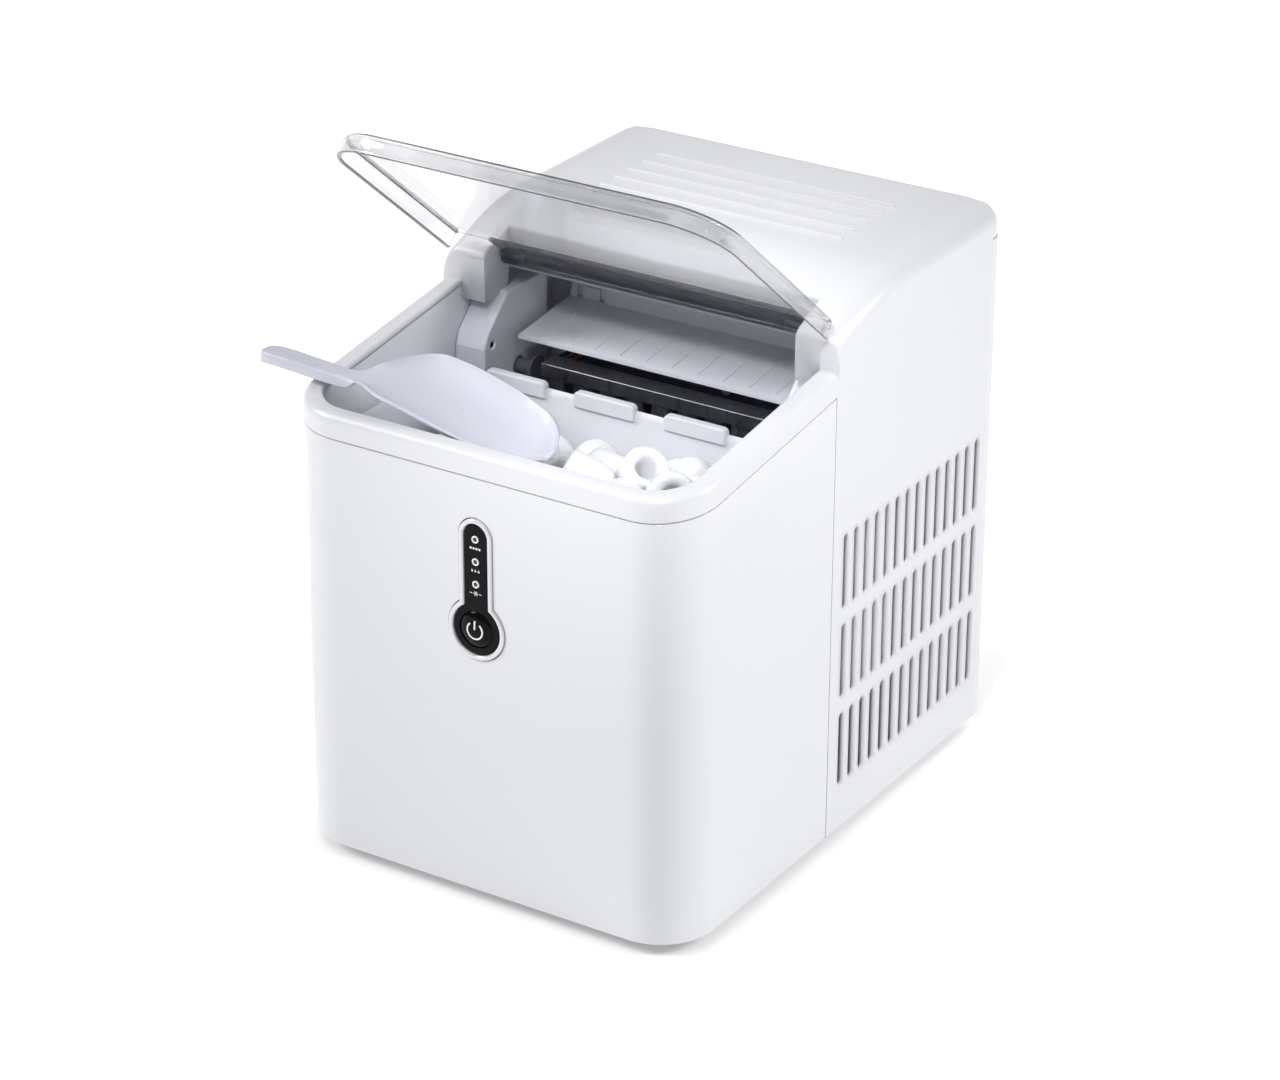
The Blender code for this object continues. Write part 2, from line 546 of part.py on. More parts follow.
SCOOP_STATIONS = [  # x, distance behind the front, half width, height of the edges, depth of the bowl
    (-137, 24.6, 3.0, 239.8, 0.0), (-134, 24.6, 5.6, 240.4, 0.0), (-128, 24.6, 6.5, 240.6, 0.0),
    (-104, 24.8, 6.5, 239.1, 0.0), (-84, 25.5, 7.0, 238.2, 0.2), (-76, 28.5, 10.5, 238.4, 1.0),
    (-69, 32.5, 18.5, 238.8, 3.2), (-61, 34.5, 24.5, 238.6, 5.6), (-48, 35.5, 26.5, 236.4, 7.4),
    (-28, 36.0, 26.5, 231.4, 8.0), (-8, 35.8, 24.2, 226.2, 7.4), (6, 35.5, 19.0, 222.4, 5.4),
    (14, 33.8, 11.2, 220.2, 3.0), (18, 33.0, 4.0, 219.0, 1.0),
]
SCOOP_WALL, HANDLE_DEPTH, HANDLE_END, BLADE_LEAN = 1.8, 5.2, -80.0, 2.5


def scoop():
    """Shallow curved blade that narrows into a channel-shaped handle, lying across the corner of the rim."""
    across = 8
    bm = bmesh.new()
    upper, lower = [], []
    for x, behind, half, edge, bowl in SCOOP_STATIONS:
        rows = ([], [])
        for i in range(across + 1):
            s = 2 * i / across - 1
            flange = HANDLE_DEPTH * (abs(s) > 0.9) if x < HANDLE_END else 0.0
            y = FRONT + behind + half * s
            z = edge - bowl * (1 - s * s) + BLADE_LEAN * (s + 1) / 2 * (x > HANDLE_END)
            rows[0].append(bm.verts.new((x, y, z)))
            rows[1].append(bm.verts.new((x, y, z - SCOOP_WALL - flange)))
        upper.append(rows[0])
        lower.append(rows[1])
    for grid in (upper, lower):
        for a, b in zip(grid, grid[1:]):
            for i in range(across):
                bm.faces.new((a[i], a[i + 1], b[i + 1], b[i]))
    for a, b, c, d in zip(upper, upper[1:], lower, lower[1:]):
        bm.faces.new((a[0], b[0], d[0], c[0]))
        bm.faces.new((a[across], b[across], d[across], c[across]))
    for u, v in ((upper[0], lower[0]), (upper[-1], lower[-1])):
        for i in range(across):
            bm.faces.new((u[i], u[i + 1], v[i + 1], v[i]))
    blade = finish(bm, "scoop", SCOOP_PLASTIC, smooth=True)
    return pivot(blade, -75, FRONT + 28, 238)


# ---------------------------------------------------------------- ice chamber


def evaporator():
    """Cooling bar with nine hollow fingers that hang into the water tray."""
    bar = box("evaporator", (-66, TRAY_Y - 6, TRAY_Z), (66, TRAY_Y + 6, TRAY_Z + 7), ALUMINIUM)
    for i in range(FINGERS):
        x = FINGER_PITCH * (i - (FINGERS - 1) / 2)
        low = -FINGER_LENGTH
        profile = [(0, low), (3.2, low + 0.8), (FINGER_RADIUS, low + 4), (FINGER_RADIUS, 2), (0, 2)]
        join(bar, turn(f"evaporator_finger_{i + 1}", profile, "Z", (x, TRAY_Y, TRAY_Z), 12))
    return bar


def water_tray():
    """Half-round trough that tips its water out backwards, on a stub shaft at each end."""
    shape = [(TRAY_Y, TRAY_Z)] + arc(TRAY_Y, TRAY_Z - 0.5, TRAY_RADIUS, 180, 360, 16)
    tray = extrude("water_tray", shape[1:], "X", -TRAY_SIDE, TRAY_SIDE, GREY_PLASTIC, smooth=True)
    hollow = arc(TRAY_Y, TRAY_Z + 0.2, TRAY_RADIUS - 1.8, 180, 360, 16)
    cut(tray, extrude("tray_hollow", hollow, "X", -TRAY_SIDE + 2, TRAY_SIDE - 2))
    for name, side in (("left", -1), ("right", 1)):
        ends = sorted((side * (TRAY_SIDE - 1), side * (CHEEK_X + 2)))
        stub = [(0, ends[0]), (4.0, ends[0]), (4.0, ends[1]), (0, ends[1])]
        hub = turn(f"tray_shaft_{name}", stub, "X", (0, TRAY_Y, TRAY_Z), 16)
        ends = sorted((side * (TRAY_SIDE - 1.9), side * (TRAY_SIDE - 0.1)))
        boss = [(0, ends[0]), (7.0, ends[0]), (7.0, ends[1]), (0, ends[1])]
        join(tray, turn(f"tray_boss_{name}", boss, "X", (0, TRAY_Y, TRAY_Z), 16), hub)
    return pivot(tray, 0, TRAY_Y, TRAY_Z)


def pusher():
    """Ribbed plate with an upturned rear edge, which swings on two knuckles behind it."""
    front, rear = PUSHER_FRONT, PUSHER_Y - 3
    low, rise = 214.0, 4.0
    slab = [(front, low), (rear, low + rise), (rear + 2, low + rise + 10), (rear, low + rise + 10)]
    slab += [(rear - 2, low + rise + 3), (front, low + 2)]
    plate = extrude("ice_pusher", slab, "X", -PUSHER_SIDE, PUSHER_SIDE, GREY_PLASTIC)
    for i in range(10):
        x = 14.5 * (i - 4.5)
        rib = [(front + 3, low + 1), (rear - 6, low + rise + 0.6)]
        rib += [(rear - 6, low + rise + 2.8), (front + 3, low + 2.8)]
        join(plate, extrude(f"pusher_rib_{i}", rib, "X", x - 0.6, x + 0.6))
    for name, x in KNUCKLES:
        half = KNUCKLE_HALF + 3.2
        slit = box(f"pusher_slit_{name}", (x - half, rear - 3.2, low + rise + 2.9), (x + half, rear + 9, low + 30))
        cut(plate, slit)
        arm = [(rear - 1, low + rise + 1), (rear + 1, low + rise + 1), (PUSHER_Y + 3.5, PUSHER_Z - 2)]
        arm += [(PUSHER_Y + 3.5, PUSHER_Z + 2), (PUSHER_Y, PUSHER_Z + 3.6), (rear - 1, PUSHER_Z + 2)]
        join(plate, extrude(f"pusher_arm_{name}", arm, "X", x - KNUCKLE_HALF, x + KNUCKLE_HALF))
        hole = [(0, x - 12), (1.9, x - 12), (1.9, x + 12), (0, x + 12)]
        cut(plate, turn(f"pusher_bore_{name}", hole, "X", (0, PUSHER_Y, PUSHER_Z), 12))
    return pivot(plate, 0, PUSHER_Y, PUSHER_Z)


def guard():
    """Plate behind the pusher, with two ears and an axle at each knuckle."""
    plate = box("evaporator_guard", (-80, PUSHER_Y + 6, 210), (80, PUSHER_Y + 8, 262), GREY_PLASTIC)
    for name, x in KNUCKLES:
        for side in (-1, 1):
            ear = [(PUSHER_Y + 7, PUSHER_Z - 4), (PUSHER_Y + 7, PUSHER_Z + 5), (PUSHER_Y - 3, PUSHER_Z + 3)]
            ear.append((PUSHER_Y - 3, PUSHER_Z - 3))
            low, high = sorted((x + side * (KNUCKLE_HALF + 0.5), x + side * (KNUCKLE_HALF + 2.5)))
            join(plate, extrude(f"guard_ear_{name}_{side + 1}", ear, "X", low, high))
        axle = [(0, x - 6.6), (1.5, x - 6.6), (1.5, x + 6.6), (0, x + 6.6)]
        join(plate, turn(f"guard_axle_{name}", axle, "X", (0, PUSHER_Y, PUSHER_Z), 12))
    return plate


def chamber_fittings():
    box("tray_motor", (87, TRAY_Y - 14, 176), (99.5, TRAY_Y + 16, 206), DARK_PLASTIC)
    box("level_sensor", (-99.8, FRONT + 118, 80), (-92, FRONT + 126, 112), DARK_PLASTIC)


# ---------------------------------------------------------------- machine room


def compressor():
    r = COMPRESSOR_RADIUS
    profile = [(0, 16), (r - 8, 16), (r - 2, 20), (r, 28), (r, 66), (r + 2, 67), (r + 2, 71), (r, 72)]
    profile += [(r, 104), (r - 3, 114), (r - 12, 121), (0, 124)]
    centre = (COMPRESSOR_X, COMPRESSOR_Y, 0)
    pot = turn("compressor", profile, "Z", centre, 32, BLACK_ENAMEL)
    for i in range(3):
        angle = radians(90 + 120 * i)
        x, y = COMPRESSOR_X + 33 * cos(angle), COMPRESSOR_Y + 33 * sin(angle)
        foot = [(0, 3.4), (6, 3.4), (5, 9), (6, 15.4), (3.5, 15.6), (0, 15.6)]
        turn(f"compressor_mount_{i + 1}", foot, "Z", (x, y, 0), 12, RUBBER)
    plate = rounded(COMPRESSOR_X - 36, COMPRESSOR_Y - 24, COMPRESSOR_X + 36, COMPRESSOR_Y + 38, (8, 8, 8, 8), 3)
    return join(pot, extrude("compressor_plate", plate, "Z", 16, 18.5))


def condenser():
    """Finned block against the right-hand vents."""
    low, high, count = CORE_FRONT, CORE_BACK, 15
    pitch = (high - low) / count
    comb = []
    for i in range(count):
        y = low + pitch * i
        comb += [(84, y), (84, y + pitch * 0.4), (90, y + pitch * 0.4), (90, y + pitch)]
    comb[-1] = (90, high - 0.01)
    comb += [(90, high), (106, high), (106, low)]
    return extrude("condenser", comb, "Z", 16, 166, ALUMINIUM)


def fan():
    hub = turn("fan_blade", [(0, -5), (11, -5), (13, -3), (13, 5), (3, 5), (3, 6), (0, 6)], "X",
               (FAN_X, FAN_Y, FAN_Z), 20, DARK_PLASTIC)
    for i in range(5):
        bm = bmesh.new()
        inner, outer, rows = 11.5, FAN_RADIUS - 1.5, 4
        grid = {}
        for k in range(rows + 1):
            radius = inner + (outer - inner) * k / rows
            spread = radians(26 + 4 * k / rows)
            for end, angle in ((0, -spread), (1, spread)):
                for face, lift in ((0, -0.8), (1, 0.8)):
                    pitch = 3.6 * (1 if end else -1) + lift
                    turn_by = angle + 2 * pi * i / 5
                    place = (pitch, radius * cos(turn_by), radius * sin(turn_by))
                    grid[k, end, face] = bm.verts.new(place)
        for k in range(rows):
            for f in (0, 1):
                bm.faces.new([grid[k, 0, f], grid[k + 1, 0, f], grid[k + 1, 1, f], grid[k, 1, f]])
            for e in (0, 1):
                bm.faces.new([grid[k, e, 0], grid[k + 1, e, 0], grid[k + 1, e, 1], grid[k, e, 1]])
        for k in (0, rows):
            bm.faces.new([grid[k, 0, 0], grid[k, 1, 0], grid[k, 1, 1], grid[k, 0, 1]])
        bmesh.ops.translate(bm, vec=(FAN_X, FAN_Y, FAN_Z), verts=bm.verts)
        join(hub, finish(bm, f"fan_vane_{i + 1}", None))
    pivot(hub, FAN_X, FAN_Y, FAN_Z)
    shroud = box("fan_shroud", (FAN_X + 7, CORE_FRONT, 46), (FAN_X + 16, CORE_BACK, 138), DARK_PLASTIC)
    mouth = turn("shroud_mouth", [(0, 0), (FAN_RADIUS, 0), (FAN_RADIUS, 30), (0, 30)], "X",
                 (FAN_X, FAN_Y, FAN_Z), 28)
    cut(shroud, mouth)
    motor = turn("fan_motor", [(0, -34), (14, -34), (16, -32), (16, -8), (14, -6), (2, -6), (2, -5.5), (0, -5.5)],
                 "X", (FAN_X, FAN_Y, FAN_Z), 20, STEEL)
    stand = box("motor_stand", (FAN_X - 30, FAN_Y - 6, 3.4), (FAN_X - 14, FAN_Y + 6, FAN_Z - 10))
    return join(motor, stand)


def into_chamber(x, z, end):
    """Level run of a pipe through its hole in the rear wall of the liner."""
    return [(x, y, z) for y in (LINER_BACK + 9, LINER_BACK + 4, end)]


def plumbing():
    """Copper pipes, drier, valve, pump and its hose."""
    x, y = COMPRESSOR_X, COMPRESSOR_Y
    discharge = [(x + 18, y, 124.4), (x + 18, y, 150), (10, y, 176), (70, FAN_Y, 182), (95, FAN_Y, 177)]
    pipe("discharge_pipe", discharge + [(95, FAN_Y, 166.6)], 2.4, COPPER)
    suction = [(x - 14, y, 124.2), (x - 14, y - 2, 160), (-PIPE_X, y - 24, PIPE_Z - 5)]
    pipe("suction_pipe", suction + into_chamber(-PIPE_X, PIPE_Z, TRAY_Y + 6.4), 2.6, COPPER)
    turn("filter_drier", [(0, 0), (3, 0), (3, 6), (8, 10), (8, 44), (3, 48), (3, 54), (0, 54)], "Z",
         (36, FRONT + 272, 130), 16, COPPER)
    capillary = [(36, FRONT + 272, 184.4), (36, FRONT + 272, 194), (40, FRONT + 255, 204), (54, FRONT + 228, 202)]
    pipe("capillary", capillary + into_chamber(PIPE_X, PIPE_Z, TRAY_Y + 6.4), 1.6, COPPER)
    turn("hot_gas_valve", [(0, 0), (10, 0), (10, 24), (4, 26), (4, 34), (0, 34)], "Z",
         (2, FRONT + 272, 190), 16, STEEL)
    turn("water_pump", [(0, 4), (14, 4), (14, 30), (10, 33), (4, 33), (4, 40), (0, 40)], "Z",
         (HOSE_X, FRONT + 208, 0), 20, DARK_PLASTIC)
    hose = [(HOSE_X, FRONT + 208, 40.5), (HOSE_X, FRONT + 208, 110), (HOSE_X, FRONT + 208, 180)]
    pipe("pump_hose", hose + into_chamber(HOSE_X, HOSE_Z, LINER_BACK - 9), 3.0, SILICONE)


def electronics():
    board = box("main_board", (-70, FRONT + 60, 24), (50, FRONT + 140, 25.6), CIRCUIT_BOARD)
    parts = [(-60, 70, 18, 22, 14), (-20, 75, 26, 20, 12), (20, 100, 16, 30, 10), (-50, 110, 30, 16, 8)]
    for i, (x, y, w, d, h) in enumerate(parts):
        join(board, box(f"board_part_{i}", (x, FRONT + y, 25), (x + w, FRONT + y + d, 25.6 + h)))
    return board


def fittings():
    """Cord gland and pull-out drain plug on the back panel."""
    gland = [(4.2, -5.5), (8.0, -5.5), (8.0, 0.3), (10.5, 0.3), (10.0, 2.4), (7.0, 8.5), (4.2, 8.5)]
    gland.append(gland[0])
    turn("cord_gland", gland, "Y", (GLAND_X, BACK, GLAND_Z), 20, RUBBER)
    plug = [(0, -5.5), (7.6, -5.5), (8.0, -3), (8.0, 0.3), (10.5, 0.3), (10.5, 2.2), (4, 2.6), (4, 6.5), (0, 6.5)]
    drain = turn("drain_plug", plug, "Y", (DRAIN_X, BACK, DRAIN_Z), 20, RUBBER)
    pivot(drain, DRAIN_X, BACK, DRAIN_Z)


# ---------------------------------------------------------------- build

for leftover in list(bpy.data.objects):
    bpy.data.objects.remove(leftover)

front_shell()
upper_housing()
back_panel()
back_screws()
base_pan()
feet()
lid()
hinge_pins()
console()
bin_liner()
cheeks()
foam_pads()
ice_basket()
scoop()
evaporator()
water_tray()
pusher()
guard()
chamber_fittings()
compressor()
condenser()
fan()
plumbing()
electronics()
fittings()
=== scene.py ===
"""Countertop ice maker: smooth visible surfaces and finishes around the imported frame.

Shapes are worked out in millimetres in the frame's axes: X to the right, Y from front to back, Z up, with the
origin in the middle of the base pan's underside. They become metres as each mesh is made.
"""

import json
from math import cos, pi, radians, sin

import bmesh
import bpy
import numpy as np
from mathutils import Matrix, Vector


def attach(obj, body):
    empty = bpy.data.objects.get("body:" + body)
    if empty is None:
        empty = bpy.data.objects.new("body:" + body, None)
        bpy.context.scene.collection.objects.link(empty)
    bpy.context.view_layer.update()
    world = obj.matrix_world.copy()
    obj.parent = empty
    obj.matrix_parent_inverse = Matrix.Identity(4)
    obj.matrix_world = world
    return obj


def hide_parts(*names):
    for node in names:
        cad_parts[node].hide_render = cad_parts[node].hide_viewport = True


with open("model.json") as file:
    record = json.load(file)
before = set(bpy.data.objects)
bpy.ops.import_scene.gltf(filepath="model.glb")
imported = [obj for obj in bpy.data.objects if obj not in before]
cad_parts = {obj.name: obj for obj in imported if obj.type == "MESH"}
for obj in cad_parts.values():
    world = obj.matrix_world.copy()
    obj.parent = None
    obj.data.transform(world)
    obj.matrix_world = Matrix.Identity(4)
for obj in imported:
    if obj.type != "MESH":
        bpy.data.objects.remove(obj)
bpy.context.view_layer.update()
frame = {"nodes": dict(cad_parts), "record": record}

MM = 0.001
WIDTH, DEPTH = 222.0, 295.0
SIDE, FRONT = WIDTH / 2, -DEPTH / 2

# Casing. Distances called `behind` are counted from the front face.
CORNER, REAR_CORNER = 29.5, 11.0
RIM_SLOPE, SEAM_LEVEL, RIM_LEVEL = 0.13, 215.5, 227.7
SEAM, HOOD, NOTCH, PANEL, REAR = 132.9, 134.5, 156.0, 283.0, 295.0
HOOD_TOP, PILLAR, PANEL_TOP = 277.6, 87.0, 262.0
HOOD_START, RIDGE_START, RIDGE_CLIMB, HOOD_RAMP = 261.0, 252.5, 18.5, 62.0
CHAMBER_EDGE, PILLAR_EDGE, RIM_LIP = 248.0, 236.0, 3.2  # bottoms of the inner wall, and its depth below the rim
RIB_COUNT, RIB_FIRST, RIB_PITCH = 5, 260.3, 12.9
BIN_SIDE, BIN_FRONT, BIN_CORNER = 100.5, 8.5, 20.0
VENT_ROWS = ((24.6, 63.9), (72.2, 111.7), (119.9, 159.1))
VENT_COUNT, VENT_FIRST, VENT_PITCH, VENT_HALF = 14, 145.0, 10.0, 2.35

# Console
CONSOLE_X, BUTTON_Z, CONSOLE_TOP, CONSOLE_BOWL, CONSOLE_STEM = -0.5, 139.6, 195.6, 15.4, 9.0
BUTTON_RADIUS = 8.9
INK_LAYERS = (0.09, -0.05)  # outer and inner face of the printed ink, above the surface it lies on
INDICATOR_HEIGHTS = (185.4, 174.1, 162.7)

# Lid
LID_AXIS = np.array([0.0, FRONT + 150.9, 256.0])
LID_OPEN = radians(39.7)
LID_SIDE, LID_LENGTH, LID_CORNER, LID_REAR = 106.0, 152.0, 28.0, 19.5
LID_SKIRT, LID_WALL, LID_RISE = 10.5, 2.0, -8.6

# Basket
BASKET_SIDE, BASKET_NEAR, BASKET_FAR, BASKET_FLOOR, BASKET_TOP = 94.0, 14.0, 116.0, 122.0, 209.0
TAB_PITCH, TAB_SHIFT, TAB_HALF, TAB_RISE = 50.5, -5.0, 17.0, 3.2

# Scoop
SCOOP_LEAN = 2.5

# Stage: floor, camera in millimetres and degrees, and lights
FLOOR_LEVEL, FLOOR_REACH = -6.0, 9000.0
CAMERA_PLACE, CAMERA_AZIMUTH, CAMERA_ELEVATION, CAMERA_ROLL = (951.21, FRONT - 1361.87, 978.53), 32.37, 25.54, -0.21
SENSOR_WIDTH, FOCAL_LENGTH = 36.0, 113.99
SUNS = (  # name, azimuth, elevation and spread in degrees, strength
    ("left_light", -60, 35, 22, 0.54), ("right_light", 115, 36, 22, 0.53), ("high_light", -5, 72, 30, 0.13))
SPOT_PLACE, SPOT_TARGET = Vector((0.25, -0.68, 0.93)), Vector((0.022, 0.002, 0.198))
SPOT_POWER, SPOT_CONE, SPOT_RADIUS = 56, 12.5, 0.12


# ---------------------------------------------------------------- tools


def linear(code):
    """Scene colour of an sRGB hex value: c/12.92 below 0.04045 and ((c + 0.055)/1.055)^2.4 above it."""
    srgb = np.array([int(code[i : i + 2], 16) / 255 for i in (1, 3, 5)])
    values = np.where(srgb <= 0.04045, srgb / 12.92, ((srgb + 0.055) / 1.055) ** 2.4)
    return (*values.tolist(), 1.0)


def add_node(tree, kind, settings=None, links=None):
    """Adds one node, sets its sockets or properties, and links its inputs."""
    node = tree.nodes.new(kind)
    for key, value in (settings or {}).items():
        if isinstance(key, int) or key in node.inputs:
            node.inputs[key].default_value = value
        else:
            setattr(node, key, value)
    for key, source in (links or {}).items():
        tree.links.new(source, node.inputs[key])
    return node


def surface(name, points, faces, material, outward=True):
    """Mesh of an array of points in millimetres, smooth except across edges sharper than 40 degrees."""
    mesh = bpy.data.meshes.new(name)
    mesh.from_pydata((np.asarray(points).reshape(-1, 3) * MM).tolist(), [], [list(f) for f in faces])
    bm = bmesh.new()
    bm.from_mesh(mesh)
    bmesh.ops.remove_doubles(bm, verts=bm.verts, dist=1e-6)
    if outward:
        bmesh.ops.recalc_face_normals(bm, faces=bm.faces)
    bm.to_mesh(mesh)
    bm.free()
    mesh.shade_smooth()
    mesh.set_sharp_from_angle(angle=radians(40))
    mesh.materials.append(material)
    piece = bpy.data.objects.new(name, mesh)
    bpy.context.scene.collection.objects.link(piece)
    return piece


def quads(rows, cols, closed_rows=False, closed_cols=False):
    """Faces between neighbours of a rows x cols grid, as an array of four vertex numbers each."""
    i = np.arange(rows if closed_rows else rows - 1)
    j = np.arange(cols if closed_cols else cols - 1)
    a, b = np.meshgrid(i, j, indexing="ij")
    c, d = (a + 1) % rows, (b + 1) % cols
    return np.stack([a * cols + b, c * cols + b, c * cols + d, a * cols + d], -1).reshape(-1, 4)


def wall(piece, thickness):
    """Gives an open surface its wall, inwards from its points."""
    step = piece.modifiers.new("wall", "SOLIDIFY")
    step.thickness = thickness * MM
    step.offset = -1.0
    return piece


def eased(piece, width, segments=2):
    """Small round along every edge sharper than 30 degrees."""
    step = piece.modifiers.new("eased", "BEVEL")
    step.width = width * MM
    step.segments = segments
    step.limit_method = "ANGLE"
    step.angle_limit = radians(30)
    normals = piece.modifiers.new("normals", "WEIGHTED_NORMAL")
    normals.keep_sharp = True
    return piece


def carved(piece, cutter):
    """Cuts one closed shape out of another, keeps the result as its mesh and throws the cutter away."""
    step = piece.modifiers.new("cut", "BOOLEAN")
    step.operation = "DIFFERENCE"
    step.object = cutter
    step.solver = "EXACT"
    graph = bpy.context.evaluated_depsgraph_get()
    mesh = bpy.data.meshes.new_from_object(piece.evaluated_get(graph))
    piece.modifiers.clear()
    piece.data = mesh
    bpy.data.objects.remove(cutter)
    mesh.set_sharp_from_angle(angle=radians(30))
    return piece


def joined(name, *pieces):
    """One object holding several closed shapes."""
    bm = bmesh.new()
    for piece in pieces:
        bm.from_mesh(piece.data)
    mesh = pieces[0].data
    bm.to_mesh(mesh)
    bm.free()
    for piece in pieces[1:]:
        bpy.data.objects.remove(piece)
    pieces[0].name = name
    return pieces[0]


def prism(name, outline, axis, low, high, material):
    """Straight bar of an outline: (y, z) points carried along X, or (x, z) points along Y."""
    flat = np.asarray(outline, float)
    order = {"X": (2, 0, 1), "Y": (0, 2, 1)}[axis]
    ends = [np.column_stack([flat, np.full(len(flat), level)])[:, order] for level in (low, high)]
    n = len(flat)
    sides = quads(2, n, closed_cols=True).tolist()
    return surface(name, np.concatenate(ends), sides + [list(range(n)), list(range(n, 2 * n))], material)


def lathe(name, profile, centre, material, steps):
    """Solid of revolution about a line from front to back: (r cos t, h, r sin t) for each profile point (r, h)."""
    r, h = np.asarray(profile, float).T
    t = np.linspace(0, 2 * pi, steps, endpoint=False)
    ring = np.stack([np.outer(r, np.cos(t)), np.repeat(h[:, None], steps, 1), np.outer(r, np.sin(t))], -1)
    points = ring + np.asarray(centre)
    faces = quads(len(r), steps, closed_cols=True).tolist()
    return surface(name, points, faces, material)


def arc(cx, cy, radius, start, stop, steps):
    """Points (cx + r cos a, cy + r sin a) for angles in degrees from start to stop."""
    a = np.radians(np.linspace(start, stop, steps + 1))
    return np.column_stack([cx + radius * np.cos(a), cy + radius * np.sin(a)])


def rounded(x0, y0, x1, y1, radii):
    """Rectangle with quarter circles of the given radii at (x1, y1), (x0, y1), (x0, y0) and (x1, y0)."""
    corners = ((x1, y1, -1, -1, 0), (x0, y1, 1, -1, 90), (x0, y0, 1, 1, 180), (x1, y0, -1, 1, 270))
    parts = [arc(x + sx * r, y + sy * r, r, start, start + 90, 8)
             for (x, y, sx, sy, start), r in zip(corners, radii)]
    return np.concatenate(parts)


def smooth_curve(t, knots, values):
    """Cubic through the knots, its slope at each one the mean slope across its two neighbours."""
    knots, values = np.asarray(knots, float), np.asarray(values, float)
    slope = np.gradient(values, knots)
    k = np.clip(np.searchsorted(knots, t, side="right") - 1, 0, len(knots) - 2)
    span = knots[k + 1] - knots[k]
    s = (t - knots[k]) / span
    h00, h10 = 2 * s**3 - 3 * s**2 + 1, s**3 - 2 * s**2 + s
    h01, h11 = -2 * s**3 + 3 * s**2, s**3 - s**2
    return h00 * values[k] + h10 * span * slope[k] + h01 * values[k + 1] + h11 * span * slope[k + 1]


def softened(node, material, width):
    """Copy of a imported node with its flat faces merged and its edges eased."""
    source = frame["nodes"][node]
    bm = bmesh.new()
    bm.from_mesh(source.data)
    bmesh.ops.remove_doubles(bm, verts=bm.verts, dist=1e-6)
    bmesh.ops.dissolve_limit(bm, angle_limit=radians(1.0), verts=bm.verts, edges=bm.edges)
    mesh = bpy.data.meshes.new(f"{node}_finished")
    bm.to_mesh(mesh)
    bm.free()
    mesh.shade_smooth()
    mesh.set_sharp_from_angle(angle=radians(35))
    mesh.materials.append(material)
    piece = bpy.data.objects.new(f"{node}_finished", mesh)
    bpy.context.scene.collection.objects.link(piece)
    return eased(piece, width)


def place(piece, body, slot, *nodes):
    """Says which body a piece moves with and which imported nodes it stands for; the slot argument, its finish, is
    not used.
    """
    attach(piece, body)
    if nodes:
        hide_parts(*nodes)
    return piece


# ---------------------------------------------------------------- finishes


def finish(name, colour, roughness, grain, depth=0.0, vary=0.0, second=None, patch=60.0, stretch=(1, 1, 1),
           **sockets):
    """Moulded or drawn surface. `grain` is the size of its texture and `depth` the texture's height, both in
    millimetres; `vary` is how far the roughness wanders; `second` is a colour it drifts to over patches of the
    size `patch`. Other arguments set the shader's inputs of that name, with an underscore for each space."""
    mat = bpy.data.materials.new(name)
    mat.use_nodes = True
    tree = mat.node_tree
    shader = tree.nodes["Principled BSDF"]
    shader.inputs["Base Color"].default_value = linear(colour)
    shader.inputs["Roughness"].default_value = roughness
    for key, value in sockets.items():
        shader.inputs[key.replace("_", " ")].default_value = value
    place_on = add_node(tree, "ShaderNodeTexCoord")
    spread = add_node(tree, "ShaderNodeMapping", {"Scale": stretch}, {"Vector": place_on.outputs["Object"]})
    fine = add_node(tree, "ShaderNodeTexNoise", {"Scale": 1 / (grain * MM), "Detail": 3.0, "Roughness": 0.55},
                    {"Vector": spread.outputs[0]})
    if depth:
        bump = add_node(tree, "ShaderNodeBump", {"Strength": 1.0, "Distance": depth * MM},
                        {"Height": fine.outputs["Fac"]})
        tree.links.new(bump.outputs[0], shader.inputs["Normal"])
    if vary:
        band = add_node(tree, "ShaderNodeMapRange", {"From Min": 0.3, "From Max": 0.7, "To Min": roughness - vary,
                        "To Max": roughness + vary}, {"Value": fine.outputs["Fac"]})
        tree.links.new(band.outputs[0], shader.inputs["Roughness"])
    if second:
        broad = add_node(tree, "ShaderNodeTexNoise", {"Scale": 1 / (patch * MM), "Detail": 2.0},
                         {"Vector": spread.outputs[0]})
        mix = add_node(tree, "ShaderNodeMix", {"data_type": "RGBA"}, {"Factor": broad.outputs["Fac"]})
        mix.inputs[6].default_value = linear(colour)
        mix.inputs[7].default_value = linear(second)
        tree.links.new(mix.outputs[2], shader.inputs["Base Color"])
    return mat


# Polished injection-moulded ABS: bright white with mirror-like but slightly wavy reflections.
GLOSS_ABS = finish("polished_white_abs", "#dddee1", 0.11, grain=9.0, depth=0.01, vary=0.02, second="#dbdcdf",
                   IOR=1.54)
# Satin injection-moulded ABS: a fine spark-eroded grain scatters the light into soft highlights.
SATIN_ABS = finish("satin_white_abs", "#dddee1", 0.34, grain=0.9, depth=0.006, vary=0.04, second="#dadbdf",
                   IOR=1.54)
# The same ABS on the back, with a coarser grain that hides fingerprints.
GRAIN_ABS = finish("grained_white_abs", "#e2e3e5", 0.45, grain=1.4, depth=0.03, vary=0.05, second="#dedfe2",
                   IOR=1.54)
# Polypropylene tub: pale cool grey, waxy rather than glossy, and coloured lighter than the casing's white: painted
# light, making up for the light that does not reach into the bin.
LINER_PP_PAINTED_LIGHT = finish("pale_grey_polypropylene_painted_light", "#eeeff4", 0.38, grain=1.2, depth=0.008, vary=0.05, second="#e8e9f0",
                  IOR=1.49)
# Moving parts of the ice chamber, the same plastic coloured lighter still: painted light, making up for the light
# that does not reach deep into the chamber.
CHAMBER_PP_PAINTED_LIGHT = finish("chamber_polypropylene_painted_light", "#eff0f8", 0.32, grain=1.6, depth=0.008, vary=0.04,
                    second="#e9ebf4", IOR=1.49)
# Water tray: dark grey polypropylene, satin, a little shinier where it is wet.
TRAY_PP = finish("dark_wet_polypropylene", "#5c5e6c", 0.42, grain=3.0, depth=0.02, vary=0.1, second="#50525f",
                 IOR=1.49)
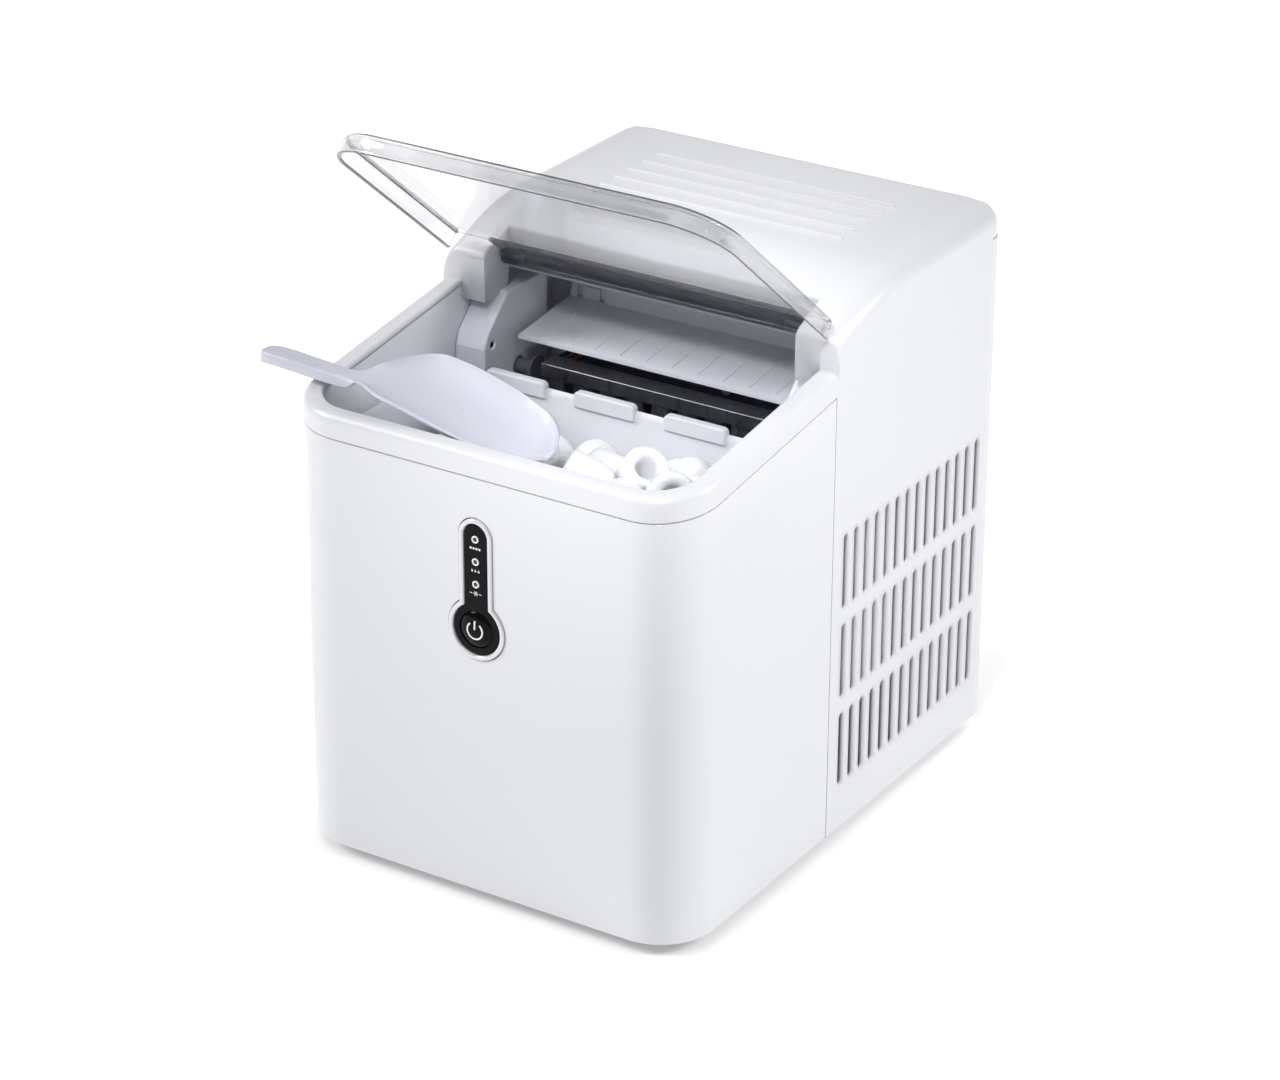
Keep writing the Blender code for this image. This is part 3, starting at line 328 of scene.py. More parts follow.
# Scoop: satin polypropylene, slightly milky.
SCOOP_PP = finish("milky_polypropylene", "#d3d4df", 0.3, grain=3.0, depth=0.003, vary=0.03, second="#cacbd7",
                  IOR=1.49)
# Basket: frosted polypropylene, cloudy so that the ice shows only as a shade.
FROSTED_PP = finish("frosted_polypropylene", "#f1f2f7", 0.42, grain=1.0, depth=0.01, vary=0.05, second="#ebedf4",
                    IOR=1.49, Transmission_Weight=0.2, Alpha=0.93)
# Lid: clear polished styrene acrylonitrile; its rounded edges catch bright lines, and the dark lines along them are
# painted shade, given by the finish below.
CLEAR_SAN = finish("clear_polished_san", "#eceef1", 0.03, grain=14.0, vary=0.008, IOR=1.57,
                   Transmission_Weight=1.0, Alpha=0.33)
# Where the lid's edge rounds over, the plastic is coloured dark grey: painted shade standing in for the dark line
# that refraction draws there.
EDGE_SAN_PAINTED_SHADE = finish("rounded_edge_san_painted_shade", "#2a2c34", 0.05, grain=14.0, vary=0.01, second="#50525b", patch=25.0,
                  IOR=1.57, Transmission_Weight=0.75, Alpha=0.9)
# The hinge bar is the same clear plastic, coloured dark grey: painted shade standing in for the dark chamber seen
# through it.
THICK_SAN_PAINTED_SHADE = finish("thick_san_painted_shade", "#4a4c56", 0.06, grain=9.0, depth=0.02, vary=0.02, IOR=1.57,
                   Transmission_Weight=1.0, Alpha=0.86)
# Console face: black acrylic, polished like glass.
BLACK_ACRYLIC = finish("polished_black_acrylic", "#060607", 0.08, grain=6.0, depth=0.004, vary=0.02,
                       second="#09090b", IOR=1.49, Specular_IOR_Level=0.12)
# Bezel: satin white ABS lip with a slight pearl.
PEARL_ABS = finish("pearl_white_abs", "#dfe0e2", 0.22, grain=2.0, depth=0.004, vary=0.04, second="#d6d7da",
                   IOR=1.54, Metallic=0.25)
# Printed marks: opaque white ink, slightly raised and matt.
WHITE_INK = finish("white_printing_ink", "#f2f3f5", 0.5, grain=0.5, depth=0.004, vary=0.05, second="#e8e9ec")
# Indicator lens: smoked polycarbonate, unlit.
SMOKED_PC = finish("smoked_polycarbonate", "#2a2b30", 0.1, grain=1.5, depth=0.003, vary=0.02, second="#232429",
                   IOR=1.58)
# Ice: cloudy core and clear skin, wet.
ICE = finish("wet_cloudy_ice", "#fbfcfd", 0.14, grain=5.0, depth=0.12, vary=0.06, second="#f0f3f7", patch=9.0,
             IOR=1.31, Transmission_Weight=0.12, Subsurface_Weight=0.25, Subsurface_Radius=(0.006, 0.008, 0.01))
# Moulded black plastic: fan, shroud, pump, base pan.
BLACK_PP = finish("black_polypropylene", "#17181a", 0.45, grain=0.8, depth=0.01, vary=0.08, second="#1f2022")
# Moulded rubber: matt black with a dusty bloom.
RUBBER = finish("black_moulded_rubber", "#1a1a1b", 0.75, grain=0.5, depth=0.02, vary=0.08, second="#262627")
# Silicone hose: milky and soft.
SILICONE = finish("milky_silicone_hose", "#c9cccd", 0.4, grain=1.5, depth=0.01, vary=0.06, second="#bfc3c4",
                  Subsurface_Weight=0.3, Subsurface_Radius=(0.003, 0.003, 0.003))
# Zinc-plated steel: a cool grey metal with faint mottling.
STEEL = finish("zinc_plated_steel", "#b4b7bb", 0.32, grain=1.2, depth=0.01, vary=0.08, second="#a3a7ad", Metallic=1.0)
# Black enamel baked on steel: deep and glossy, with an orange-peel ripple.
ENAMEL = finish("baked_black_enamel", "#0d0e10", 0.22, grain=2.5, depth=0.03, vary=0.05, second="#141518")
# Drawn copper: bright, with brown patches where it has been heated.
COPPER = finish("drawn_copper", "#c9805c", 0.28, grain=2.0, depth=0.008, vary=0.1, second="#7c4a34", patch=14.0,
                Metallic=1.0)
# Aluminium, rolled: streaks run along the sheet.
ALUMINIUM = finish("rolled_aluminium", "#c6c9cc", 0.35, grain=1.0, depth=0.01, vary=0.08, second="#b5b9bd",
                   stretch=(1.0, 1.0, 0.1), Metallic=1.0)
# Expanded foam: a bed of small beads.
FOAM = finish("expanded_bead_foam", "#e7e3d6", 0.8, grain=2.4, depth=0.3, vary=0.1, second="#dbd6c6")
# Circuit board: green lacquer over a dark laminate.
BOARD = finish("green_circuit_laminate", "#1c5a38", 0.35, grain=1.6, depth=0.05, vary=0.1, second="#123f27",
               patch=4.0)


# ---------------------------------------------------------------- casing


def rim_height(behind):
    """Top of the rim: a plane that climbs with the distance behind the front."""
    return RIM_LEVEL + RIM_SLOPE * behind


def hood_height(x, behind):
    """Top of the hood. A quarter sine lifts it from the hinge to the flat top over HOOD_RAMP, and each side rolls
    down over an arc of 45 degrees to the ridge: ridge + (top - ridge)(cos a - cos 45)/(1 - cos 45)."""
    sweep = np.sin(np.clip((behind - HOOD) / HOOD_RAMP, 0, 1) * pi / 2)
    ridge, top = RIDGE_START + RIDGE_CLIMB * sweep, HOOD_START + (HOOD_TOP - HOOD_START) * sweep
    inner = SIDE - 8.0 - 10.0 * sweep
    across = np.clip((np.abs(x) - inner) / (SIDE - inner), 0, 1)
    a = np.arcsin(across * sin(pi / 4))
    shoulder = ridge + (top - ridge) * (np.cos(a) - cos(pi / 4)) / (1 - cos(pi / 4))
    edge = 3.0
    near = np.clip(edge - (behind - HOOD), 0, edge)
    return shoulder - (edge - np.sqrt(edge**2 - near**2))


def casing_columns():
    """Right half of the casing's plan, from the middle of the back round to the middle of the front.

    Each column holds: outer point, inward normal there, inner point, direction from the inner edge into the
    moulding, bottom of the outer wall, bottom of the inner wall, radius of the outer edge, whether it is hood."""
    rows = []

    def column(outer, normal, inner, into, bottom, inner_bottom, radius, hood):
        rows.append((*outer, *normal, *inner, *into, bottom, inner_bottom, radius, float(hood)))

    corner_x, corner_y = SIDE - REAR_CORNER, REAR - REAR_CORNER
    top_bottom = PANEL_TOP + 0.4
    for x in np.linspace(0, corner_x, 12)[:-1]:
        column((x, REAR), (0, -1), (0.45 * x, NOTCH), (0, 1), top_bottom, CHAMBER_EDGE, 4.0, True)
    for a in np.linspace(pi / 2, 0, 12):
        share = 1 - a / (pi / 2)
        column((corner_x + REAR_CORNER * cos(a), corner_y + REAR_CORNER * sin(a)), (-cos(a), -sin(a)),
               (45 + 5 * share, NOTCH), (0, 1), top_bottom, CHAMBER_EDGE, 4.0 - 1.2 * share, True)
    slots = [VENT_FIRST + VENT_PITCH * i + VENT_HALF * k for i in range(VENT_COUNT)
             for k in (-1, -0.87, -0.5, 0, 0.5, 0.87, 1)]
    stops = sorted([PANEL + 0.05, PANEL, 279.0, NOTCH, 149.5, 139.5, 137.5, 136.6, 135.8, 135.1, 134.7] + slots)
    for behind in reversed(stops):
        bottom = top_bottom if behind > PANEL + 0.01 else 0.0
        if behind > NOTCH + 0.01:
            inner, into = (50 + 37 * (corner_y - behind) / (corner_y - NOTCH), NOTCH), (0, 1)
        elif behind > NOTCH - 0.01:
            inner, into = (PILLAR, NOTCH), (0.7, 0.7)
        else:
            inner, into = (PILLAR, behind), (1, 0)
        column((SIDE, behind), (-1, 0), inner, into, bottom, CHAMBER_EDGE if into[1] else PILLAR_EDGE, 2.8, True)
    column((SIDE, HOOD), (-1, 0), (BIN_SIDE, HOOD), (1, 0), 0.0, PILLAR_EDGE, 2.8, True)
    column((SIDE, HOOD - 0.05), (-1, 0), (BIN_SIDE, HOOD - 0.05), (1, 0), 0.0, rim_height(HOOD) - RIM_LIP, 4.5,
           False)
    stretch = (HOOD - BIN_FRONT - BIN_CORNER) / (HOOD - CORNER)
    seam = [SEAM + 0.2, SEAM + 0.15] + list(np.linspace(SEAM - 3, CORNER, 16))
    for behind in seam:
        bottom = 0.0 if behind > SEAM + 0.17 else SEAM_LEVEL + 0.1 + RIM_SLOPE * behind
        place_in = BIN_FRONT + BIN_CORNER + (behind - CORNER) * stretch
        column((SIDE, behind), (-1, 0), (BIN_SIDE, place_in), (1, 0), bottom, rim_height(place_in) - RIM_LIP, 4.5,
               False)
    outer_x, inner_x = SIDE - CORNER, BIN_SIDE - BIN_CORNER
    for a in np.linspace(0, pi / 2, 25)[1:]:
        outer = (outer_x + CORNER * cos(a), CORNER - CORNER * sin(a))
        inner = (inner_x + BIN_CORNER * cos(a), BIN_FRONT + BIN_CORNER - BIN_CORNER * sin(a))
        column(outer, (-cos(a), sin(a)), inner, (cos(a), -sin(a)), SEAM_LEVEL + 0.1 + RIM_SLOPE * outer[1],
               rim_height(inner[1]) - RIM_LIP, 4.5, False)
    for share in np.linspace(1, 0, 12)[1:]:
        column((outer_x * share, 0), (0, 1), (inner_x * share, BIN_FRONT), (0, -1), SEAM_LEVEL + 0.1,
               rim_height(BIN_FRONT) - RIM_LIP, 4.5, False)
    return np.array(rows)


def housing():
    """Rim, hood and rear sides in one moulding.

    The grid runs round the plan and, in each column, up the outer wall, over a quarter circle, across the top,
    over a second quarter circle and down the inner wall. Heights across the top come from rim_height and
    hood_height. The faces between the two bow-ended rows of each slot are left out."""
    half = casing_columns()
    mirror = half[-2:0:-1].copy()
    mirror[:, [0, 2, 4, 6]] *= -1
    c = np.concatenate([half, mirror])
    outer, normal, inner, into = c[:, 0:2], c[:, 2:4], c[:, 4:6], c[:, 6:8]
    bottom, inner_bottom, radius, hood = c[:, 8], c[:, 9], c[:, 10], c[:, 11] > 0.5

    def height(plan):
        return np.where(hood, hood_height(plan[:, 0], plan[:, 1]), rim_height(plan[:, 1]))

    offset = (outer[:, 1] - VENT_FIRST + VENT_PITCH / 2) % VENT_PITCH - VENT_PITCH / 2
    vent_zone = (np.abs(outer[:, 0]) > SIDE - 0.01) & (np.abs(outer[:, 1] - 210) < 70)
    in_slot = vent_zone & (np.abs(offset) < VENT_HALF + 1e-6)
    bow = np.where(in_slot, np.sqrt(np.clip(VENT_HALF**2 - offset**2, 0, None)), 0.0)
    levels = [(0.0, 0.6, 0), (0.5, 0.05, 0), (12.0, 0, 0)]
    for low, high in VENT_ROWS:
        levels += [(low - 2.5, 0, 0), (low + VENT_HALF, 0, -1), (high - VENT_HALF, 0, 1), (high + 2.5, 0, 0)]
    levels += [(180.0, 0, 0), (205.0, 0, 0)]
    rows = []
    wall_top = height(outer) - radius
    full = bottom < 1
    for k, (level, inset, sign) in enumerate(levels):
        share = level if k < 2 else (wall_top - bottom) * k / (len(levels) + 1)
        z = np.where(full, level + sign * bow, bottom + share)
        rows.append(np.column_stack([outer + normal * inset, z]))
    for a in np.radians(np.linspace(0, 90, 8)):
        plan = outer + normal * (radius * (1 - np.cos(a)))[:, None]
        rows.append(np.column_stack([plan, height(plan) - radius * (1 - np.sin(a))]))
    small = 1.5
    start, stop = outer + normal * radius[:, None], inner + into * small
    for s in np.linspace(0, 1, 26)[1:]:
        plan = start + (stop - start) * s
        rows.append(np.column_stack([plan, height(plan)]))
    for a in np.radians(np.linspace(90, 0, 5))[1:]:
        plan = inner + into * small * (1 - np.cos(a))
        rows.append(np.column_stack([plan, height(plan) - small * (1 - np.sin(a))]))
    rows.append(np.column_stack([inner, inner_bottom]))
    points = np.array(rows)
    points[..., 1] += FRONT
    count = len(c)
    faces = quads(len(rows), count, closed_cols=True)
    row, col = np.divmod(faces[:, 0], count)
    after = (col + 1) % count
    is_slot = in_slot[col] & in_slot[after] & (np.abs(offset[col] - offset[after]) < VENT_HALF)
    first = [3 + 4 * k + 1 for k in range(len(VENT_ROWS))]
    faces = faces[~(is_slot & np.isin(row, first))]
    return wall(surface("housing", points, faces, SATIN_ABS), 2.4)


def hood_ribs():
    """Low ribs across the hood: half ellipses 2.8 mm wide and 1.25 mm high whose ends close in a round."""
    half_length, half_width, rise = 68.7, 1.4, 1.25
    t = np.linspace(0, pi, 9)
    ends = half_width * (1 - np.cos(np.linspace(0, pi / 2, 6)))
    x = np.concatenate([-half_length + ends, half_length - ends[::-1]])
    scale = np.concatenate([np.sin(np.linspace(0, pi / 2, 6)), np.sin(np.linspace(pi / 2, 0, 6))])
    grid = np.zeros((len(x), len(t), 3))
    grid[..., 0] = x[:, None]
    grid[..., 1] = half_width * scale[:, None] * np.cos(t)
    grid[..., 2] = rise * scale[:, None] * np.sin(t)
    faces = quads(len(x), len(t), closed_cols=True)
    ribs = []
    for i in range(RIB_COUNT):
        points = grid + np.array([0, FRONT + RIB_FIRST - RIB_PITCH * i, HOOD_TOP - 0.1])
        ribs.append(surface(f"hood_rib_{i}", points, faces.tolist(), SATIN_ABS))
    return joined("hood_ribs", *ribs)


def front_shell():
    """Glossy panel: the casing's plan carried from the floor of the machine to a top edge that runs with the rim.
    Its bottom, top and rear edges turn in by small radii."""
    half = casing_columns()
    half = half[(half[:, 11] < 0.5) & (half[:, 1] < SEAM - 1)]
    edge = half[0].copy()
    extra = np.array([edge, edge, edge])
    extra[:, 1] = SEAM - 0.1, SEAM - 0.25, SEAM - 0.7
    turn_in = np.concatenate([[0.6, 0.15, 0.0], np.zeros(len(half))])
    half = np.concatenate([extra, half])
    mirror, mirror_in = half[-2::-1].copy(), turn_in[-2::-1]
    mirror[:, [0, 2]] *= -1
    c, turn_in = np.concatenate([half, mirror]), np.concatenate([turn_in, mirror_in])
    outer, normal = c[:, 0:2], c[:, 2:4]
    top = SEAM_LEVEL - 0.1 + RIM_SLOPE * outer[:, 1]
    rows = []
    for z, inset in ((0, 1.8), (0.25, 1.0), (0.8, 0.35), (1.8, 0.0)):
        rows.append(np.column_stack([outer + normal * (inset + turn_in)[:, None], np.full(len(c), z)]))
    for s in np.linspace(0, 1, 12)[1:]:
        rows.append(np.column_stack([outer + normal * turn_in[:, None], 1.8 + (top - 2.6) * s]))
    for down, inset in ((0.35, 0.1), (0.1, 0.3), (0.0, 0.7)):
        rows.append(np.column_stack([outer + normal * (inset + turn_in)[:, None], top - down]))
    points = np.array(rows)
    points[..., 1] += FRONT
    shell = wall(surface("front_panel", points, quads(len(rows), len(c)), GLOSS_ABS), 2.3)
    hole = prism("console_hole", console_outline(0.55), "Y", FRONT - 5, FRONT + 8, GLOSS_ABS)
    return carved(shell, hole)


# ---------------------------------------------------------------- console


def console_outline(grow):
    """Bowl of one circle and stem of another: the bowl's arc stops where the stem's sides meet it."""
    bowl, stem = CONSOLE_BOWL + grow, CONSOLE_STEM + grow
    neck = 90 - np.degrees(np.arcsin(stem / bowl))
    lower = arc(CONSOLE_X, BUTTON_Z, bowl, 180 - neck, 360 + neck, 56)
    return np.concatenate([lower, arc(CONSOLE_X, CONSOLE_TOP - CONSOLE_STEM, stem, 0, 180, 24)])


def bezel():
    """Raised lip: a closed section (growth of the outline, distance behind the front) carried round it."""
    section = [(0, 2.2), (0, -0.5), (-0.2, -0.85), (-0.7, -1.1), (-1.5, -1.15), (-2.0, -0.95), (-2.3, -0.5),
               (-2.4, 0.2), (-2.4, 2.2)]
    rings = []
    for grow, behind in section:
        flat = console_outline(grow)
        rings.append(np.column_stack([flat[:, 0], np.full(len(flat), FRONT + behind), flat[:, 1]]))
    points = np.array(rings)
    faces = quads(len(rings), points.shape[1], closed_rows=True, closed_cols=True)
    return surface("console_lip", points, faces.tolist(), PEARL_ABS)


def button_crown(r):
    """How far the button's dome stands proud of the front at radius r: a shallow cap with a rolled edge."""
    return 1.9 * np.clip(1 - (r / BUTTON_RADIUS) ** 2.6, 0, 1) ** 0.75


def button():
    """Domed cap turned about its own centre, with a skirt behind it."""
    r = np.linspace(0, BUTTON_RADIUS, 20)
    profile = [(a, -b) for a, b in zip(r, button_crown(r))] + [(BUTTON_RADIUS, 2.3), (0, 2.3)]
    return lathe("button_cap", profile, (CONSOLE_X, FRONT, BUTTON_Z), BLACK_ACRYLIC, 64)


def symbol_band(name, inner, outer, start, stop, steps):
    """Printed arc that follows the dome: (r sin a, dome, r cos a) with a from the top."""
    a = np.radians(np.linspace(start, stop, steps))[:, None]
    r = np.linspace(inner, outer, 4)[None, :]
    x, dome, z = CONSOLE_X + r * np.sin(a), FRONT - button_crown(r + 0 * a), BUTTON_Z + r * np.cos(a)
    layers = [np.stack([x, dome - lift, z], -1) for lift in INK_LAYERS]
    return shell_of(name, layers)


def shell_of(name, layers):
    """Closed skin between two layers of the same grid, joined round its border."""
    rows, cols = layers[0].shape[:2]
    n = rows * cols
    top = quads(rows, cols)
    number = np.arange(n).reshape(rows, cols)
    border = np.concatenate([number[0, :-1], number[:-1, -1], number[-1, :0:-1], number[:0:-1, 0]])
    after = np.roll(border, -1)
    side = np.stack([border, after, after + n, border + n], -1)
    faces = np.concatenate([top, top[:, ::-1] + n, side])
    return surface(name, np.concatenate([layer.reshape(-1, 3) for layer in layers]), faces.tolist(), WHITE_INK)


def power_symbol():
    """Ring open at the top, and an upright bar."""
    ring = symbol_band("power_ring", 3.75, 4.55, 38, 322, 48)
    x = np.linspace(-0.4, 0.4, 3)[:, None]
    z = np.linspace(0.6, 5.0, 8)[None, :]
    r = np.hypot(x, z)
    layers = [np.stack([CONSOLE_X + x + 0 * z, FRONT - button_crown(r) - lift, BUTTON_Z + z + 0 * x], -1)
              for lift in INK_LAYERS]
    return joined("power_symbol", ring, shell_of("power_bar", layers))


def indicator(i, z):
    """White ring round a smoked lens, flush with the console's face."""
    ring = lathe(f"indicator_ring_{i}", [(1.15, 0.3), (1.15, -0.5), (1.3, -0.62), (1.7, -0.62), (1.85, -0.5),
                                         (1.85, 2.2), (1.15, 2.2), (1.15, 0.3)],
                 (CONSOLE_X, FRONT, z), WHITE_INK, 32)
    lens = lathe(f"indicator_lens_{i}", [(0, -0.42), (0.7, -0.36), (1.1, -0.2), (1.1, 1.8), (0, 1.8)],
                 (CONSOLE_X, FRONT, z), SMOKED_PC, 32)
    place(ring, "casing", "lens", f"indicator_{i}")
    place(lens, "casing", "lens")


def pictograms():
    """Small printed signs below the rings: a stack of cubes, a row of drops and a snow star."""
    marks = []

    def dash(x, z, half_x, half_z, turned=0.0):
        t = radians(turned)
        corners = [(-half_x, -half_z), (half_x, -half_z), (half_x, half_z), (-half_x, half_z)]
        flat = [(CONSOLE_X + x + a * cos(t) - b * sin(t), z + a * sin(t) + b * cos(t)) for a, b in corners]
        marks.append(prism(f"mark_{len(marks)}", flat, "Y", FRONT - 0.46, FRONT - 0.38, WHITE_INK))

    for x in (-2.4, -0.8, 0.8, 2.4):
        dash(x, 180.9, 0.5, 0.5)
    for x in (-1.8, 0.0, 1.8):
        dash(x, 169.5, 0.45, 0.45, 45)
        dash(x, 169.95, 0.16, 0.45)
    for turned in (0, 60, 120):
        dash(0, 158.1, 1.3, 0.17, turned)
    for x in (-2.6, 2.6):
        dash(x, 158.1, 0.6, 0.17)
    return joined("pictograms", *marks)


# ---------------------------------------------------------------- lid


def opened(points):
    """Turns points drawn on the flat lid, hinge at the origin, to where the lid stands open."""
    c, s = cos(LID_OPEN), sin(LID_OPEN)
    x, y, z = np.moveaxis(np.asarray(points, float), -1, 0)
    return np.stack([x, y * c + z * s, -y * s + z * c], -1) + LID_AXIS


def turned_open(piece):
    """Opens a piece drawn on the flat lid."""
    points = np.empty(len(piece.data.vertices) * 3)
    piece.data.vertices.foreach_get("co", points)
    piece.data.vertices.foreach_set("co", (opened(points.reshape(-1, 3) / MM) * MM).ravel())
    return piece


def lid_tray():
    """Flat plate with a skirt down its sides and front: each column climbs the skirt, rounds the edge over a
    quarter circle and crosses the plate to the middle line."""
    straight = LID_LENGTH - LID_CORNER
    side = [(LID_SIDE, -y, 1, 0, 0, -y) for y in np.linspace(LID_REAR, straight, 14)]
    for a in np.linspace(0, pi / 2, 19)[1:]:
        x, y = LID_SIDE - LID_CORNER + LID_CORNER * cos(a), -straight - LID_CORNER * sin(a)
        side.append((x, y, cos(a), -sin(a), 0, -straight - 8 * a))
    for share in np.linspace(1, 0, 10)[1:]:
        side.append(((LID_SIDE - LID_CORNER) * share, -LID_LENGTH, 0, -1, 0, -straight - 13 - 4 * (1 - share)))
    half = np.array(side)
    mirror = half[-2::-1].copy()
    mirror[:, [0, 2]] *= -1
    c = np.concatenate([half, mirror])
    edge, out, middle = c[:, 0:2], c[:, 2:4], c[:, 4:6]
    top, radius = LID_RISE + LID_SKIRT, 3.0
    rows = []
    for z, flare in ((LID_RISE, 0.0), (LID_RISE + 0.6, 0.25), (LID_RISE + 1.8, 0.3), (LID_RISE + 3.0, 0.0),
                     (top - radius - 1.5, 0.0)):
        rows.append(np.column_stack([edge + out * (flare - 0.3), np.full(len(c), z)]))
    for a in np.radians(np.linspace(0, 90, 7)):
        plan = edge - out * (0.3 + radius * (1 - np.cos(a)))
        rows.append(np.column_stack([plan, np.full(len(c), top - radius * (1 - np.sin(a)))]))
    start = edge - out * (0.3 + radius)
    for s in np.linspace(0, 1, 8)[1:]:
        rows.append(np.column_stack([start + (middle - start) * s, np.full(len(c), top)]))
    tray = surface("lid_tray", np.array(rows), quads(len(rows), len(c)), CLEAR_SAN)
    # The skirt's bottom edge and the rounded crest take the dark edge finish: painted shade for the dark lines along
    # the lid's edges.
    tray.data.materials.append(EDGE_SAN_PAINTED_SHADE)
    centres = np.empty(len(tray.data.polygons) * 3)
    tray.data.polygons.foreach_get("center", centres)
    x, y, z = (centres.reshape(-1, 3) / MM).T
    lip = z < LID_RISE + 1.0
    painted_shade_crest = (z > top - 1.5) & (z < top - 0.2)
    tray.data.polygons.foreach_set("material_index", (lip | painted_shade_crest).astype(int))
    return wall(turned_open(tray), LID_WALL)


def lid_hinge_bar():
    """Tongue that runs back from the plate between the pillars and rolls into the hinge bar."""
    top = LID_RISE + LID_SKIRT
    roll = arc(0, 0, 4.2, 65, -150, 22)
    outline = np.concatenate([[(-LID_REAR + 0.2, top), (-6, top), (-1.5, top + 1.4)], roll,
                              [(-6.0, top - 2.0), (-LID_REAR + 0.2, top - 2.0)]])
    # The bar's dark grey is painted shade for the chamber seen through the clear plastic.
    bar = prism("lid_tongue", outline, "X", -85.5, 85.5, THICK_SAN_PAINTED_SHADE)
    turned_open(bar)
    return eased(bar, 0.3)


# ---------------------------------------------------------------- bin


def basket():
    """Open box with rounded corners and a rolled lip: rings of one rounded rectangle from the middle of its
    floor up to the lip, each given by (inset, height)."""
    rings = []
    levels = [(46, BASKET_FLOOR), (8, BASKET_FLOOR), (3.0, 122.6), (0.9, 124.5), (0.4, 128.0), (0.2, 160.0),
              (0.0, 206.0), (-0.5, 207.4), (-1.2, 208.4), (-2.0, 208.9), (-2.6, 208.6), (-2.8, 207.6)]
    for inset, z in levels:
        radii = [max(1.0, r - inset) for r in (8, 8, 15, 15)]
        flat = rounded(-BASKET_SIDE + 1.0 + inset, BASKET_NEAR + 1.0 + inset, BASKET_SIDE - 1.0 - inset,
                       BASKET_FAR - 1.0 - inset, radii)
        rings.append(np.column_stack([flat[:, 0], FRONT + flat[:, 1], np.full(len(flat), z)]))
    points = np.array(rings)
    count = points.shape[1]
    faces = quads(len(rings), count, closed_cols=True).tolist() + [list(range(count))]
    return wall(surface("basket_tub", points, faces, FROSTED_PP), 1.7)


def basket_tabs():
    """Three rounded lugs that stand on the basket's rear edge."""
    tabs = []
    for i in (-1, 0, 1):
        x = TAB_PITCH * i + TAB_SHIFT
        shape = rounded(x - TAB_HALF, BASKET_TOP - 5, x + TAB_HALF, BASKET_TOP + TAB_RISE, (2.6, 2.6, 1, 1))
        near, far = FRONT + BASKET_FAR - 2.6, FRONT + BASKET_FAR + 2.2
        tabs.append(prism(f"basket_tab_{i + 1}", shape, "Y", near, far, FROSTED_PP))
    return eased(joined("basket_tabs", *tabs), 1.2, 4)


SCOOP_KNOTS = np.array([  # x, behind, half width, height of the edges, depth of the bowl
    (-137, 24.6, 2.2, 239.6, 0.0), (-135.4, 24.6, 4.8, 240.1, 0.0), (-132, 24.6, 6.1, 240.5, 0.0),
    (-126, 24.6, 6.5, 240.5, 0.0), (-104, 24.8, 6.5, 239.1, 0.0), (-84, 25.5, 7.0, 238.2, 0.2),
    (-76, 28.5, 10.5, 238.4, 1.0), (-69, 32.5, 18.5, 238.8, 3.2), (-61, 34.5, 24.5, 238.6, 5.6),
    (-48, 35.5, 26.5, 236.4, 7.4), (-28, 36.0, 26.5, 231.4, 8.0), (-8, 35.8, 24.2, 226.2, 7.4),
    (6, 35.5, 19.0, 222.4, 5.4), (14, 33.8, 11.2, 220.2, 3.0), (18, 33.0, 4.0, 219.0, 1.0)])


def scoop():
    """Blade and handle in one sheet: at each x the section is edge - bowl (1 - |s|^3.5), s from one edge to the
    other, and along the handle both edges turn down into a channel by |s|^12. The blade leans up by SCOOP_LEAN
    towards its far edge."""
    x = np.concatenate([np.linspace(-137, -130, 10), np.linspace(-129, 12, 95), np.linspace(12.6, 18, 9)])
    behind, half, edge, bowl = (smooth_curve(x, SCOOP_KNOTS[:, 0], SCOOP_KNOTS[:, k]) for k in (1, 2, 3, 4))
    s = np.sin(np.linspace(-1, 1, 33) * pi / 2)
    grip = 1 / (1 + np.exp((x + 82) / 1.6))
    points = np.zeros((len(x), len(s), 3))
    points[..., 0] = x[:, None]
    points[..., 1] = FRONT + behind[:, None] + half[:, None] * s
    roll = (0.9 * np.abs(s) ** 8 + SCOOP_LEAN * (s + 1) / 2) * (1 - grip[:, None])
    hollow, channel = bowl[:, None] * np.abs(s) ** 3.5, 5.0 * grip[:, None] * np.abs(s) ** 12
    points[..., 2] = (edge - bowl)[:, None] + hollow - channel + roll
    return wall(surface("scoop_sheet", points, quads(len(x), len(s)), SCOOP_PP), 1.7)


